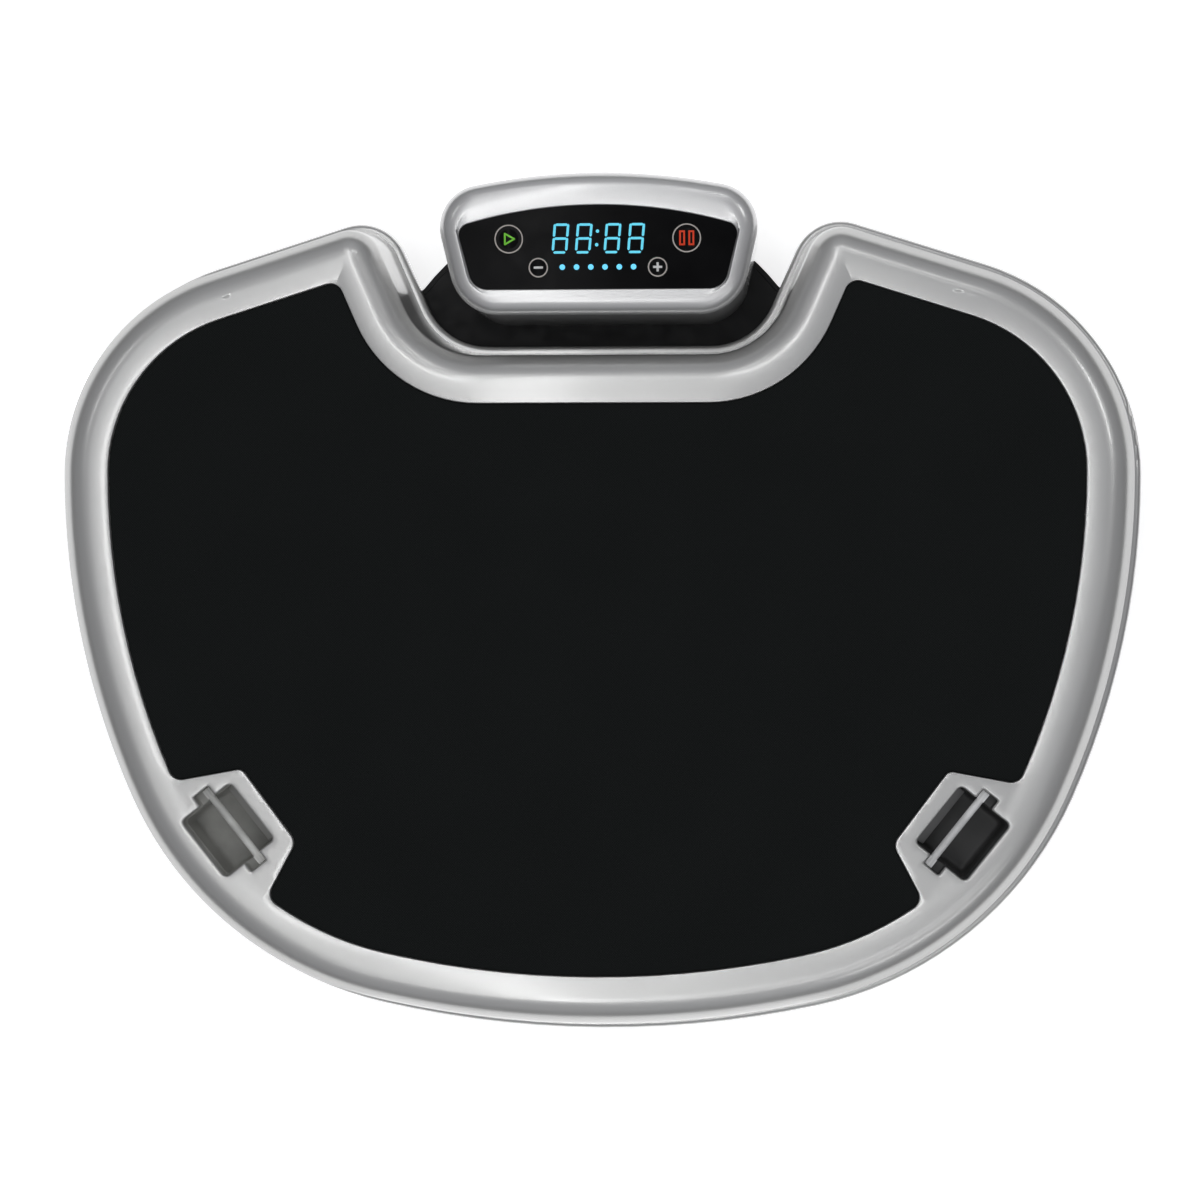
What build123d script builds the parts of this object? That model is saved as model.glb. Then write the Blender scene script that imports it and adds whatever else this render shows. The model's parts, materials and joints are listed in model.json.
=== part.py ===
from build123d import *

import os
from math import cos, radians, sin, tan

# Compact vibration plate with a console at its front edge. Millimetres, +Z up.
# The origin is on the floor, at the middle of the machine's width and depth.
# +Y points to the console, away from the user, and +X to the user's right.

os.makedirs("parts", exist_ok=True)

# ---------------------------------------------------------------- driving dimensions

# Deck outline, right half, as a chain of tangent arcs (radius, turn in degrees) and
# straight runs, from the rear middle round to the middle of the console notch.
deck_rear_y = -264.0
rear_arc = (636.4, 12.5)
corner_arc = (229.3, 53.7)
side_arc = (503.8, 23.8)
shoulder_arc = (139.5, 72.35)
flank_length = 86.3
horn_arc = (30.1, 83.95)
throat_length = 38.3
notch_arc = (41.9, 66.3)

# Levels above the floor, from the feet up.
foot_height = 10.0
pan_floor = 3.0
pan_top = 44.0
chassis_bottom = 17.0
steel = 3.0
post_top = 58.0
isolator_top = 94.0
deck_plate_bottom = 107.0
skirt_bottom = 49.0
skirt_top = 62.0
shell_ceiling = 119.0
mat_floor = 122.5
mat_top = 125.0
land_top = 127.0
crest_top = 128.0

# Deck shell section.
skirt_step = 3.5
shell_wall = 4.0
wall_draft = 6.0
shoulder_roll = 18.0
crest_inset = 27.0
mat_inset = 40.0
mat_horn_radius = 8.0

# Base pan and its nose, which carries the console in the deck's notch.
pan_inset = 12.0
pan_wall = 3.0
nose_radius = 144.0
nose_centre_y = 118.0
nose_flat_y = 255.0
cover_rear_y = 152.0

# Feet, isolators and the fasteners' pattern.
foot_places = {
    "front_left": (-250.0, 112.0),
    "front_right": (250.0, 112.0),
    "rear_left": (-190.0, -158.0),
    "rear_right": (190.0, -158.0),
}
isolator_places = {
    "front_left": (-200.0, 92.0),
    "front_right": (200.0, 92.0),
    "rear_left": (-128.0, -142.0),
    "rear_right": (128.0, -142.0),
}
foot_radius = 25.0
isolator_radius = 21.0
stiffener_spacing = 136.0
bolt_gap = 0.1
screw_phase = 0.65

# Strap anchors in the rear corners. Their long side runs at strap_angle to +X on the
# right, and mirrored on the left.
strap_centre = (222.5, -132.4)
strap_angle = 51.5
strap_length = 44.0
strap_outer = 23.3
strap_inner = 15.0
strap_depth = 30.0
strap_bar_length = 58.0
strap_bar_radius = 2.4
strap_wall = 2.5
ledge_depth = 9.5
ledge_width = 11.5
ledge_shift = -2.75
corner_cut = 21.0
land_corners = [(217.2, -97.1), (310.0, -114.1), (310.0, -240.0), (222.0, -214.6), (183.5, -141.9)]

# Drive: a motor with an unbalanced weight on each end of its shaft.
motor_z = 62.0
can_radius = 36.0
can_length = 120.0
end_bell = 12.0
shaft_radius = 7.5
bearing_radius = 17.5
bearing_width = 11.0
core_radius = 23.0
core_length = 80.0
weight_radius = 31.0
weight_thickness = 22.0
weight_x = 90.0
weight_hub_radius = 14.0
guard_radius = 35.5
guard_wall = 2.0
guard_length = 40.0
saddle_x = 38.0

# Console.
console_x = 4.0
console_y = 223.0
console_z = 142.6
console_tilt = 10.0
bezel_thickness = 12.0
bezel_roll = 9.0
housing_wall = 3.0
panel_thickness = 2.2
panel_sink = 1.0
panel_gap = 0.15
board_level = -13.8
board_thickness = 1.6
large_key_radius = 8.9
small_key_radius = 6.1
key_gap = 0.25
key_travel = 0.8
key_places = {
    "play": (-54.2, 4.0, large_key_radius),
    "pause": (54.2, 4.0, large_key_radius),
    "minus": (-36.4, -13.5, small_key_radius),
    "plus": (36.4, -13.5, small_key_radius),
}
digit_window = (64.0, 24.0)
digit_y = 4.1
lamp_pitch = 8.7
lamp_y = -13.3

# Controller board, on standoffs moulded into the pan behind the nose.
board_y = 112.0
board_z = 25.0
standoff_spacing = (140.0, 64.0)
label_recess = (74.0, 42.0)
vent_places = [(-90.0, -60.0), (90.0, -60.0)]

# Power inlet and rocker switch, side by side on the nose's flat front.
inlet_x = -20.0
switch_x = 26.0
socket_z = 26.5


# ---------------------------------------------------------------- shared shapes

def save(piece, name):
    """Label a finished piece and write it as its own STEP file."""
    piece.part.label = name
    export_step(piece.part, f"parts/{name}.step")


def deck_outline(inset, horn_radius=None):
    """The deck's plan outline moved inward by inset, with its horns rounded afresh."""
    natural_radius = horn_arc[0] - inset
    radius = natural_radius if horn_radius is None else horn_radius
    trim = (radius - natural_radius) * tan(radians(horn_arc[1] / 2))
    with BuildSketch() as outline:
        with BuildLine():
            rear = JernArc((0, deck_rear_y + inset), (1, 0), rear_arc[0] - inset, rear_arc[1])
            corner = JernArc(rear @ 1, rear % 1, corner_arc[0] - inset, corner_arc[1])
            side = JernArc(corner @ 1, corner % 1, side_arc[0] - inset, side_arc[1])
            shoulder = JernArc(side @ 1, side % 1, shoulder_arc[0] - inset, shoulder_arc[1])
            flank = PolarLine(shoulder @ 1, flank_length - trim, direction=shoulder % 1)
            horn = JernArc(flank @ 1, flank % 1, radius, horn_arc[1])
            throat = PolarLine(horn @ 1, throat_length - trim, direction=horn % 1)
            notch = JernArc(throat @ 1, throat % 1, notch_arc[0] + inset, -notch_arc[1])
            Line(notch @ 1, (0, (notch @ 1).Y))
            mirror(about=Plane.YZ)
        make_face()
    return outline.sketch


def along_outline(inset, count):
    """Points spaced evenly along the deck outline, starting screw_phase of a space in."""
    wire = deck_outline(inset).faces()[0].outer_wire()
    return [wire @ ((index + screw_phase) / count) for index in range(count)]


def pan_outline(inset):
    """The base pan's plan outline: under the deck, with the nose through the notch."""
    with BuildSketch() as outline:
        add(deck_outline(pan_inset))
        with Locations((0, nose_centre_y)):
            Circle(nose_radius)
        with Locations((0, nose_flat_y)):
            Rectangle(2 * nose_radius, nose_radius, align=(Align.CENTER, Align.MIN), mode=Mode.SUBTRACT)
        for side in (1, -1):
            throat_corner = outline.vertices().sort_by_distance((side * 122.5, 193.6))[0]
            fillet(throat_corner, 10)
            flat_corner = outline.vertices().sort_by_distance((side * 44.4, nose_flat_y))[0]
            fillet(flat_corner, 6)
        if inset:
            offset(amount=-inset, kind=Kind.INTERSECTION)
    return outline.sketch


def strap_pocket(margin):
    """The right-hand strap pocket's main opening, grown by margin on every side."""
    length = strap_length + 2 * margin
    width = strap_outer + strap_inner + 2 * margin
    with BuildSketch() as pocket:
        with Locations(Location((strap_centre[0], strap_centre[1], 0), (0, 0, strap_angle))):
            with Locations((0, (strap_inner - strap_outer) / 2)):
                RectangleRounded(length, width, 2.0 + margin)
    return pocket.sketch


def strap_ledges(margin):
    """The right-hand pocket's two end notches, where the bar's ends rest, grown by margin."""
    with BuildSketch() as ledges:
        with Locations(Location((strap_centre[0], strap_centre[1], 0), (0, 0, strap_angle))):
            with Locations((0, ledge_shift)):
                RectangleRounded(strap_bar_length + 2 * margin, ledge_width + 2 * margin, 1.0 + margin)
    return ledges.sketch


def rear_corner(margin):
    """The right-hand rear corner beyond the strap pocket's inner side, grown by margin."""
    with BuildSketch() as corner:
        with Locations(Location((strap_centre[0], strap_centre[1], 0), (0, 0, strap_angle))):
            with Locations((0, corner_cut + margin)):
                Rectangle(600, 200, align=(Align.CENTER, Align.MAX))
    return corner.sketch


def both_sides(shape):
    """A right-hand sketch together with its mirror image on the left."""
    with BuildSketch() as pair:
        add(shape)
        mirror(about=Plane.YZ)
    return pair.sketch


def strap_land(margin=0.0):
    """The right-hand raised land round a strap pocket, out to beyond the deck's edge."""
    with BuildSketch() as land:
        Polygon(*land_corners, align=None)
        fillet(land.vertices().sort_by_distance(land_corners[0])[0], 5.5)
        fillet(land.vertices().sort_by_distance(land_corners[-1])[0], 8)
        if margin:
            offset(amount=margin)
    return land.sketch


def mat_outline(gap):
    """The anti-slip mat's plan outline, drawn back from its recess's wall by gap.

    Moving the outline in and out again by one radius rounds its outward corners.
    """
    with BuildSketch() as outline:
        add(deck_outline(mat_inset, mat_horn_radius))
        add(both_sides(strap_land()), mode=Mode.SUBTRACT)
        offset(amount=-mat_horn_radius)
        offset(amount=mat_horn_radius - gap)
    return outline.sketch


def arched_outline(crown, shoulder, heel, shoulder_radius, heel_radius, shrink=0.0):
    """An arched trapezoid about the origin: crown height, shoulder and heel points."""
    with BuildSketch() as outline:
        with BuildLine():
            ThreePointArc((-shoulder[0], shoulder[1]), (0, crown), shoulder)
            Polyline(shoulder, heel, (-heel[0], heel[1]), (-shoulder[0], shoulder[1]))
        make_face()
        fillet(outline.vertices().group_by(Axis.Y)[-1], shoulder_radius)
        fillet(outline.vertices().group_by(Axis.Y)[0], heel_radius)
        if shrink:
            offset(amount=-shrink)
    return outline.sketch


def pod_outline(shrink=0.0):
    """The console pod's outline, drawn in by shrink."""
    return arched_outline(43.2, (102.3, 29.8), (85.5, -43.1), 26.0, 30.0, shrink)


def window_outline(shrink=0.0):
    """The black panel's outline, drawn in by shrink."""
    return arched_outline(24.3, (86.2, 11.3), (76.7, -26.7), 7.0, 11.5, shrink)


def console_plane(level):
    """The plane parallel to the bezel's tilted top, level above it."""
    tilt = radians(console_tilt)
    origin = (console_x, console_y, console_z)
    return Plane(origin=origin, x_dir=(1, 0, 0), z_dir=(0, -sin(tilt), cos(tilt))).offset(level)


console_axis = Axis((console_x, console_y, console_z), console_plane(0).z_dir)


def bolt(head_radius, head_height, shank_radius, shank_length, places, head_level, points_up):
    """A group of socket-head bolts, with their heads' bearing faces at head_level."""
    direction = 1 if points_up else -1
    with BuildPart() as group:
        with BuildSketch(Plane.XY.offset(head_level)):
            with Locations(*places):
                Circle(head_radius)
        extrude(amount=-direction * head_height)
        outer_faces = group.faces().sort_by(Axis.Z)
        outer = outer_faces[: len(places)] if points_up else outer_faces[-len(places):]
        chamfer(outer.edges(), 0.4)
        with BuildSketch(Plane.XY.offset(head_level - direction * head_height)):
            with Locations(*places):
                RegularPolygon(head_radius * 0.55, 6)
        extrude(amount=direction * head_height * 0.6, mode=Mode.SUBTRACT)
        with BuildSketch(Plane.XY.offset(head_level)):
            with Locations(*places):
                Circle(shank_radius)
        extrude(amount=direction * shank_length)
    return group


# ---------------------------------------------------------------- fastener places

chassis_screw_places = [(x, y) for x in (-150.0, 0.0, 150.0) for y in (-198.0, 62.0)]
skirt_screw_places = [(point.X, point.Y) for point in along_outline(13.0, 12)]
deck_screw_places = [(x, y) for x in (-230.0, -80.0, 80.0, 230.0) for y in (-30.0, 110.0)]
deck_screw_places += [(-60.0, -205.0), (60.0, -205.0), (-262.0, 40.0), (262.0, 40.0)]
cover_screw_places = [(-98.0, 160.0), (98.0, 160.0)]
console_screw_places = [(console_x + x, y) for x in (-60.0, 60.0) for y in (202.0, 238.0)]
saddle_bolt_places = [(x, y) for x in (-saddle_x, saddle_x) for y in (-43.0, 43.0)]
foot_spots = list(foot_places.values())
isolator_spots = list(isolator_places.values())


# ---------------------------------------------------------------- base

# Four moulded rubber feet, each with a counterbore for its bolt.
for corner_name, spot in foot_places.items():
    with BuildPart() as foot:
        with BuildSketch():
            with Locations(spot):
                Circle(foot_radius)
        extrude(amount=foot_height, taper=4)
        fillet(foot.faces().sort_by(Axis.Z)[0].edges(), 1.5)
        with Locations((spot[0], spot[1], 0)):
            Cylinder(8.5, 5.5, align=(Align.CENTER, Align.CENTER, Align.MIN), mode=Mode.SUBTRACT)
            Cylinder(3 + bolt_gap, 30, mode=Mode.SUBTRACT)
        with BuildSketch():
            with Locations(spot):
                Circle(18.0)
                Circle(16.4, mode=Mode.SUBTRACT)
        extrude(amount=1.0, mode=Mode.SUBTRACT)
    save(foot, f"foot_{corner_name}")

foot_bolts = bolt(6.5, 3.0, 3.0, 14.4, foot_spots, 5.5, True)
save(foot_bolts, "foot_bolts")

# Base pan: a shallow black moulding with ribs, bolt bosses and vent slots in its floor.
pan_floor_top = foot_height + pan_floor
with BuildPart() as base_pan:
    with BuildSketch(Plane.XY.offset(foot_height)):
        add(pan_outline(0))
    extrude(amount=pan_top - foot_height)
    chamfer(base_pan.faces().sort_by(Axis.Z)[0].edges(), 2.0)
    with BuildSketch(Plane.XY.offset(pan_floor_top)):
        add(pan_outline(pan_wall))
    extrude(amount=pan_top, mode=Mode.SUBTRACT)
    with BuildSketch(Plane.XY.offset(pan_floor_top)):
        with GridLocations(0, 64, 1, 5):
            Rectangle(700, 2.4)
        with GridLocations(90, 0, 7, 1):
            Rectangle(2.4, 600)
        add(pan_outline(pan_wall), mode=Mode.INTERSECT)
    extrude(amount=chassis_bottom - pan_floor_top)
    with BuildSketch(Plane.XY.offset(pan_floor_top)):
        with Locations(*foot_spots, *chassis_screw_places):
            Circle(9.0)
    extrude(amount=chassis_bottom - pan_floor_top)
    with BuildSketch(Plane.XY.offset(pan_floor_top)):
        with Locations((0, board_y)):
            with GridLocations(*standoff_spacing, 2, 2):
                Circle(4.0)
    extrude(amount=board_z - pan_floor_top)
    with BuildSketch(Plane.XY.offset(pan_floor_top)):
        with Locations(*cover_screw_places):
            Circle(5.0)
    extrude(amount=pan_top - steel - pan_floor_top)
    with BuildSketch(Plane.XY.offset(foot_height)):
        with Locations(*foot_spots):
            Circle(3 + bolt_gap)
        with Locations(*vent_places):
            with GridLocations(0, 12, 1, 7):
                SlotOverall(60, 5)
    extrude(amount=chassis_bottom, mode=Mode.SUBTRACT)
    with BuildSketch(Plane.XY.offset(foot_height)):
        with Locations((0, -150)):
            RectangleRounded(*label_recess, 3)
        with Locations(*foot_spots):
            Circle(foot_radius + 4.0)
            Circle(foot_radius + 2.0, mode=Mode.SUBTRACT)
    extrude(amount=0.8, mode=Mode.SUBTRACT)
    with BuildSketch(Plane.XY.offset(chassis_bottom)):
        with Locations(*chassis_screw_places):
            Circle(2.5 + bolt_gap)
    extrude(amount=-6.0, mode=Mode.SUBTRACT)
    with BuildSketch(Plane.XY.offset(pan_top)):
        with Locations(*cover_screw_places):
            Circle(2 + bolt_gap)
    extrude(amount=-16.0, mode=Mode.SUBTRACT)
    with BuildSketch(Plane.XZ.offset(-nose_flat_y)):
        with Locations((inlet_x, socket_z)):
            Rectangle(27.4, 20.4)
        with Locations((switch_x, socket_z)):
            Rectangle(19.4, 13.4)
    extrude(amount=8, both=True, mode=Mode.SUBTRACT)
save(base_pan, "base_pan")

# Chassis: a laser-cut steel plate with four tube posts welded on, one under each isolator.
with BuildPart() as chassis_frame:
    with BuildSketch(Plane.XY.offset(chassis_bottom)):
        add(deck_outline(46, 12))
        with Locations((0, board_y)):
            with GridLocations(*standoff_spacing, 2, 2):
                Circle(5.0, mode=Mode.SUBTRACT)
        with Locations(*vent_places):
            RectangleRounded(62, 62, 12, mode=Mode.SUBTRACT)
        with Locations((-225, -30), (225, -30)):
            RectangleRounded(50, 62, 12, mode=Mode.SUBTRACT)
        with Locations(*foot_spots):
            Circle(3 + bolt_gap, mode=Mode.SUBTRACT)
        with Locations(*chassis_screw_places):
            Circle(2.5 + bolt_gap, mode=Mode.SUBTRACT)
    extrude(amount=steel)
    with BuildSketch(Plane.XY.offset(chassis_bottom + steel)):
        with Locations(*isolator_spots):
            Circle(20.0)
            Circle(17.0, mode=Mode.SUBTRACT)
    extrude(amount=post_top - chassis_bottom - steel)
    with BuildSketch(Plane.XY.offset(post_top - 4.0)):
        with Locations(*isolator_spots):
            Circle(17.0)
    extrude(amount=4.0)
    with BuildSketch(Plane.XY.offset(chassis_bottom)):
        with Locations(*isolator_spots):
            Circle(11.0)
    extrude(amount=steel, mode=Mode.SUBTRACT)
    with BuildSketch(Plane.XY.offset(post_top - 4.0)):
        with Locations(*isolator_spots):
            Circle(4 + bolt_gap)
    extrude(amount=4.0, mode=Mode.SUBTRACT)
save(chassis_frame, "chassis_frame")

chassis_screws = bolt(4.8, 3.0, 2.5, 8.0, chassis_screw_places, chassis_bottom + steel, False)
console_screws = bolt(3.8, 2.6, 2.0, 18.0, console_screw_places, pan_top - steel, True)
with BuildPart() as base_screws:
    add(chassis_screws.part)
    add(console_screws.part)
save(base_screws, "base_screws")

# Waisted rubber isolators, blind-bored at both ends for their bolts.
isolator_height = isolator_top - post_top
for corner_name, spot in isolator_places.items():
    with BuildPart() as isolator:
        with BuildSketch(Plane(origin=(spot[0], spot[1], post_top), x_dir=(1, 0, 0), z_dir=(0, -1, 0))):
            with BuildLine():
                Line((0, 0), (isolator_radius, 0))
                Line((isolator_radius, 0), (isolator_radius, 5))
                ThreePointArc(
                    (isolator_radius, 5),
                    (isolator_radius - 5, isolator_height / 2),
                    (isolator_radius, isolator_height - 5),
                )
                Line((isolator_radius, isolator_height - 5), (isolator_radius, isolator_height))
                Line((isolator_radius, isolator_height), (0, isolator_height))
                Line((0, isolator_height), (0, 0))
            make_face()
        revolve(axis=Axis((spot[0], spot[1], 0), (0, 0, 1)))
        with Locations((spot[0], spot[1], post_top), (spot[0], spot[1], isolator_top)):
            Cylinder(4 + bolt_gap, 26, mode=Mode.SUBTRACT)
    save(isolator, f"isolator_{corner_name}")

isolator_studs = bolt(6.5, 6.0, 4.0, 16.0, isolator_spots, post_top - 4.0, True)
save(isolator_studs, "isolator_studs")

# Nose cover: the black top of the nose, on which the console stands.
with BuildPart() as nose_cover:
    with BuildSketch(Plane.XY.offset(pan_top - steel)):
        add(pan_outline(pan_wall + 0.3))
        with Locations((0, cover_rear_y)):
            Rectangle(2 * nose_radius, 200, align=(Align.CENTER, Align.MIN), mode=Mode.INTERSECT)
    extrude(amount=steel)
    with BuildSketch(Plane.XY.offset(pan_top - steel)):
        with Locations(*cover_screw_places):
            Circle(2 + bolt_gap)
        with Locations(*console_screw_places):
            Circle(2 + bolt_gap)
        with Locations((20, console_y)):
            Circle(7.0)
    extrude(amount=steel, mode=Mode.SUBTRACT)
save(nose_cover, "nose_cover")

cover_screws = bolt(3.8, 2.2, 2.0, 12.0, cover_screw_places, pan_top, False)
save(cover_screws, "cover_screws")


# ---------------------------------------------------------------- electrics in the base

with BuildPart() as controller_board:
    with BuildSketch(Plane.XY.offset(board_z)):
        with Locations((0, board_y)):
            RectangleRounded(150, 74, 3)
            with GridLocations(*standoff_spacing, 2, 2):
                Circle(1.7, mode=Mode.SUBTRACT)
    extrude(amount=board_thickness)
save(controller_board, "controller_board")

board_top = board_z + board_thickness
with BuildPart() as heat_sink:
    with BuildSketch(Plane.XY.offset(board_top)):
        with Locations((-38, board_y)):
            Rectangle(56, 40)
    extrude(amount=3.5)
    with BuildSketch(Plane.XY.offset(board_top + 3.5)):
        with Locations((-38, board_y)):
            with GridLocations(6.0, 0, 10, 1):
                Rectangle(1.6, 40)
    extrude(amount=13.0)
save(heat_sink, "heat_sink")

# Three capacitors and two terminal blocks.
with BuildPart() as board_components:
    with BuildSketch(Plane.XY.offset(board_top)):
        with Locations((18, board_y - 20), (18, board_y + 4), (41, board_y - 20)):
            Circle(9.0)
    extrude(amount=17.0)
    fillet(board_components.faces().sort_by(Axis.Z)[-3:].edges(), 1.2)
    with BuildSketch(Plane.XY.offset(board_top)):
        with Locations((-24, board_y + 30), (48, board_y + 28)):
            Rectangle(26, 10)
    extrude(amount=10.0)
    with BuildSketch(Plane.XY.offset(board_top + 10.0)):
        with Locations((-24, board_y + 30), (48, board_y + 28)):
            with GridLocations(6.0, 0, 4, 1):
                Circle(1.8)
    extrude(amount=-4.0, mode=Mode.SUBTRACT)
save(board_components, "board_components")

# Three-pin power inlet, screwless, clipped into the nose's flat front.
inlet_face = Plane(origin=(inlet_x, nose_flat_y, socket_z), x_dir=(-1, 0, 0), z_dir=(0, 1, 0))
with BuildPart() as power_inlet:
    with BuildSketch(inlet_face):
        RectangleRounded(31.0, 24.0, 2.5)
    extrude(amount=2.4)
    fillet(power_inlet.faces().sort_by(Axis.Y)[-1].edges(), 0.8)
    with BuildSketch(inlet_face):
        Rectangle(27.0, 20.0)
        with Locations((12.3, 10.8), (-12.3, 10.8)):
            Rectangle(7.0, 7.0, rotation=45, mode=Mode.SUBTRACT)
    extrude(amount=-22.0)
    with BuildSketch(inlet_face.offset(2.4)):
        Rectangle(24.0, 16.5)
        with Locations((12.0, 8.6), (-12.0, 8.6)):
            Rectangle(5.5, 5.5, rotation=45, mode=Mode.SUBTRACT)
    extrude(amount=-19.0, mode=Mode.SUBTRACT)
    with BuildSketch(inlet_face.offset(-16.6)):
        with Locations((-7, -2), (7, -2), (0, 2)):
            Rectangle(2.0, 4.0)
    extrude(amount=14.0)
save(power_inlet, "power_inlet")

switch_face = Plane(origin=(switch_x, nose_flat_y, socket_z), x_dir=(-1, 0, 0), z_dir=(0, 1, 0))
rocker_axis_y = nose_flat_y - 2.0
rocker_swing = 14.0
rocker_profile = [(-7.6, -0.5), (0, -6.0), (7.6, -0.5), (7.8, 3.6), (0, 2.6), (-7.8, 3.6)]
with BuildPart() as switch_body:
    with BuildSketch(switch_face):
        RectangleRounded(21.4, 15.4, 1.5)
    extrude(amount=2.0)
    fillet(switch_body.faces().sort_by(Axis.Y)[-1].edges(), 0.6)
    with BuildSketch(switch_face):
        Rectangle(19.0, 13.0)
    extrude(amount=-18.0)
    with BuildSketch(switch_face.offset(2.0)):
        Rectangle(17.4, 11.4)
    extrude(amount=-13.0, mode=Mode.SUBTRACT)
    with BuildSketch(switch_face.offset(-18.0)):
        with Locations((0, -3), (0, 3)):
            Rectangle(5.0, 0.8)
    extrude(amount=-7.0)
save(switch_body, "switch_body")

# Rocker cap: a shallow V seen from above, pivoting on a vertical pin moulded with it.
with BuildPart() as rocker_cap:
    with BuildSketch(Plane.XY.offset(socket_z - 5.4)):
        with Locations(Location((switch_x, rocker_axis_y, 0), (0, 0, -rocker_swing / 2))):
            Polygon(*rocker_profile, align=None)
    extrude(amount=10.8)
    fillet(rocker_cap.edges().filter_by(Axis.Z), 0.5)
save(rocker_cap, "rocker_cap")

# Mains leads from the inlet and the switch back to the board.
with BuildPart() as mains_leads:
    for lead_x, start_y in ((inlet_x - 7.0, nose_flat_y - 22.0), (inlet_x + 1.0, nose_flat_y - 22.0)):
        with BuildLine():
            FilletPolyline(
                (lead_x, start_y, socket_z - 4.0),
                (lead_x, start_y - 24.0, socket_z - 4.0),
                (lead_x, board_y + 52.0, board_top + 5.0),
                (lead_x, board_y + 35.0, board_top + 5.0),
                radius=14.0,
            )
        with BuildSketch(Plane(origin=(lead_x, start_y, socket_z - 4.0), z_dir=(0, -1, 0))):
            Circle(1.4)
        sweep()
save(mains_leads, "mains_leads")


# ---------------------------------------------------------------- console

housing_floor = pan_top + steel
housing_y = console_y + bezel_thickness * sin(radians(console_tilt))
with BuildPart() as console_housing:
    with BuildSketch(Plane.XY.offset(pan_top)):
        with Locations((console_x, housing_y)):
            add(pod_outline(1.0))
    extrude(amount=120)
    with BuildSketch(Plane.XY.offset(housing_floor)):
        with Locations((console_x, housing_y)):
            add(pod_outline(1.0 + housing_wall))
    extrude(amount=120, mode=Mode.SUBTRACT)
    split(bisect_by=console_plane(-bezel_thickness), keep=Keep.BOTTOM)
    with BuildSketch(Plane.XY.offset(pan_top)):
        with Locations(*console_screw_places):
            Circle(5.0)
    extrude(amount=24.0)
    with BuildSketch(Plane.XY.offset(pan_top)):
        with Locations(*console_screw_places):
            Circle(2 + bolt_gap)
    extrude(amount=18.0, mode=Mode.SUBTRACT)
    with BuildSketch(Plane.XY.offset(pan_top)):
        with Locations((20, console_y)):
            Circle(7.0)
    extrude(amount=steel, mode=Mode.SUBTRACT)
save(console_housing, "console_housing")

# Bezel: a rolled frame with a recess that the panel drops into.
with BuildPart() as console_bezel:
    with BuildSketch(console_plane(-bezel_thickness)):
        add(pod_outline())
    extrude(amount=bezel_thickness)
    fillet(console_bezel.faces().sort_by(console_axis)[-1].edges(), bezel_roll)
    with BuildSketch(console_plane(-bezel_thickness)):
        add(window_outline(2.5))
    extrude(amount=bezel_thickness, mode=Mode.SUBTRACT)
    with BuildSketch(console_plane(-panel_sink - panel_thickness)):
        add(window_outline())
    extrude(amount=bezel_thickness, mode=Mode.SUBTRACT)
save(console_bezel, "console_bezel")

with BuildPart() as console_panel:
    with BuildSketch(console_plane(-panel_sink - panel_thickness)):
        add(window_outline(panel_gap))
        for key_x, key_y, key_radius in key_places.values():
            with Locations((key_x, key_y)):
                Circle(key_radius + key_gap, mode=Mode.SUBTRACT)
    extrude(amount=panel_thickness)
save(console_panel, "console_panel")

# Dished push keys, each with a stem that reaches down to its tact switch.
key_top = -panel_sink + 0.1
key_cap = 2.6
stem_length = 3.6
for key_name, (key_x, key_y, key_radius) in key_places.items():
    dish_radius = 4 * key_radius
    with BuildPart() as key:
        with BuildSketch(console_plane(key_top)):
            with Locations((key_x, key_y)):
                Circle(key_radius)
        extrude(amount=-key_cap)
        fillet(key.edges().sort_by(console_axis)[-1], 0.3)
        with BuildSketch(console_plane(key_top - key_cap)):
            with Locations((key_x, key_y)):
                Circle(2.4)
        extrude(amount=-stem_length)
        with Locations(console_plane(key_top + dish_radius - 0.5).location):
            with Locations((key_x, key_y)):
                Sphere(dish_radius, mode=Mode.SUBTRACT)
    save(key, f"{key_name}_key")

board_size = (146.0, 40.0)
with BuildPart() as display_board:
    with BuildSketch(console_plane(board_level)):
        RectangleRounded(*board_size, 3)
    extrude(amount=board_thickness)
save(display_board, "display_board")

board_face = board_level + board_thickness
panel_underside = -panel_sink - panel_thickness
with BuildPart() as digit_module:
    with BuildSketch(console_plane(board_face)):
        with Locations((0, digit_y)):
            Rectangle(*digit_window)
    extrude(amount=panel_underside - board_face - 0.2)
    chamfer(digit_module.faces().sort_by(console_axis)[-1].edges(), 0.5)
save(digit_module, "digit_module")

with BuildPart() as indicator_lamps:
    with BuildSketch(console_plane(board_face)):
        with Locations((0, lamp_y)):
            with GridLocations(lamp_pitch, 0, 6, 1):
                Circle(1.6)
    extrude(amount=panel_underside - board_face - 0.2)
save(indicator_lamps, "indicator_lamps")

key_stem_end = key_top - key_cap - stem_length
with BuildPart() as tact_switches:
    for key_x, key_y, key_radius in key_places.values():
        with BuildSketch(console_plane(board_face)):
            with Locations((key_x, key_y)):
                Rectangle(6.0, 6.0)
        extrude(amount=2.0)
        with BuildSketch(console_plane(board_face + 2.0)):
            with Locations((key_x, key_y)):
                Circle(1.7)
        extrude(amount=key_stem_end - key_travel - 0.1 - board_face - 2.0)
save(tact_switches, "tact_switches")

# Display lead, down inside the pod and through the nose to the board.
lead_top = 128.0
lead_bend = 16.0
with BuildPart() as display_lead:
    with BuildLine():
        FilletPolyline(
            (20, console_y, lead_top),
            (20, console_y, board_top + 6.0),
            (20, board_y + 37.0, board_top + 6.0),
            radius=lead_bend,
        )
    with BuildSketch(Plane(origin=(20, console_y, lead_top), z_dir=(0, 0, -1))):
        Circle(2.4)
    sweep()
save(display_lead, "display_lead")


# ---------------------------------------------------------------- deck

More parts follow.
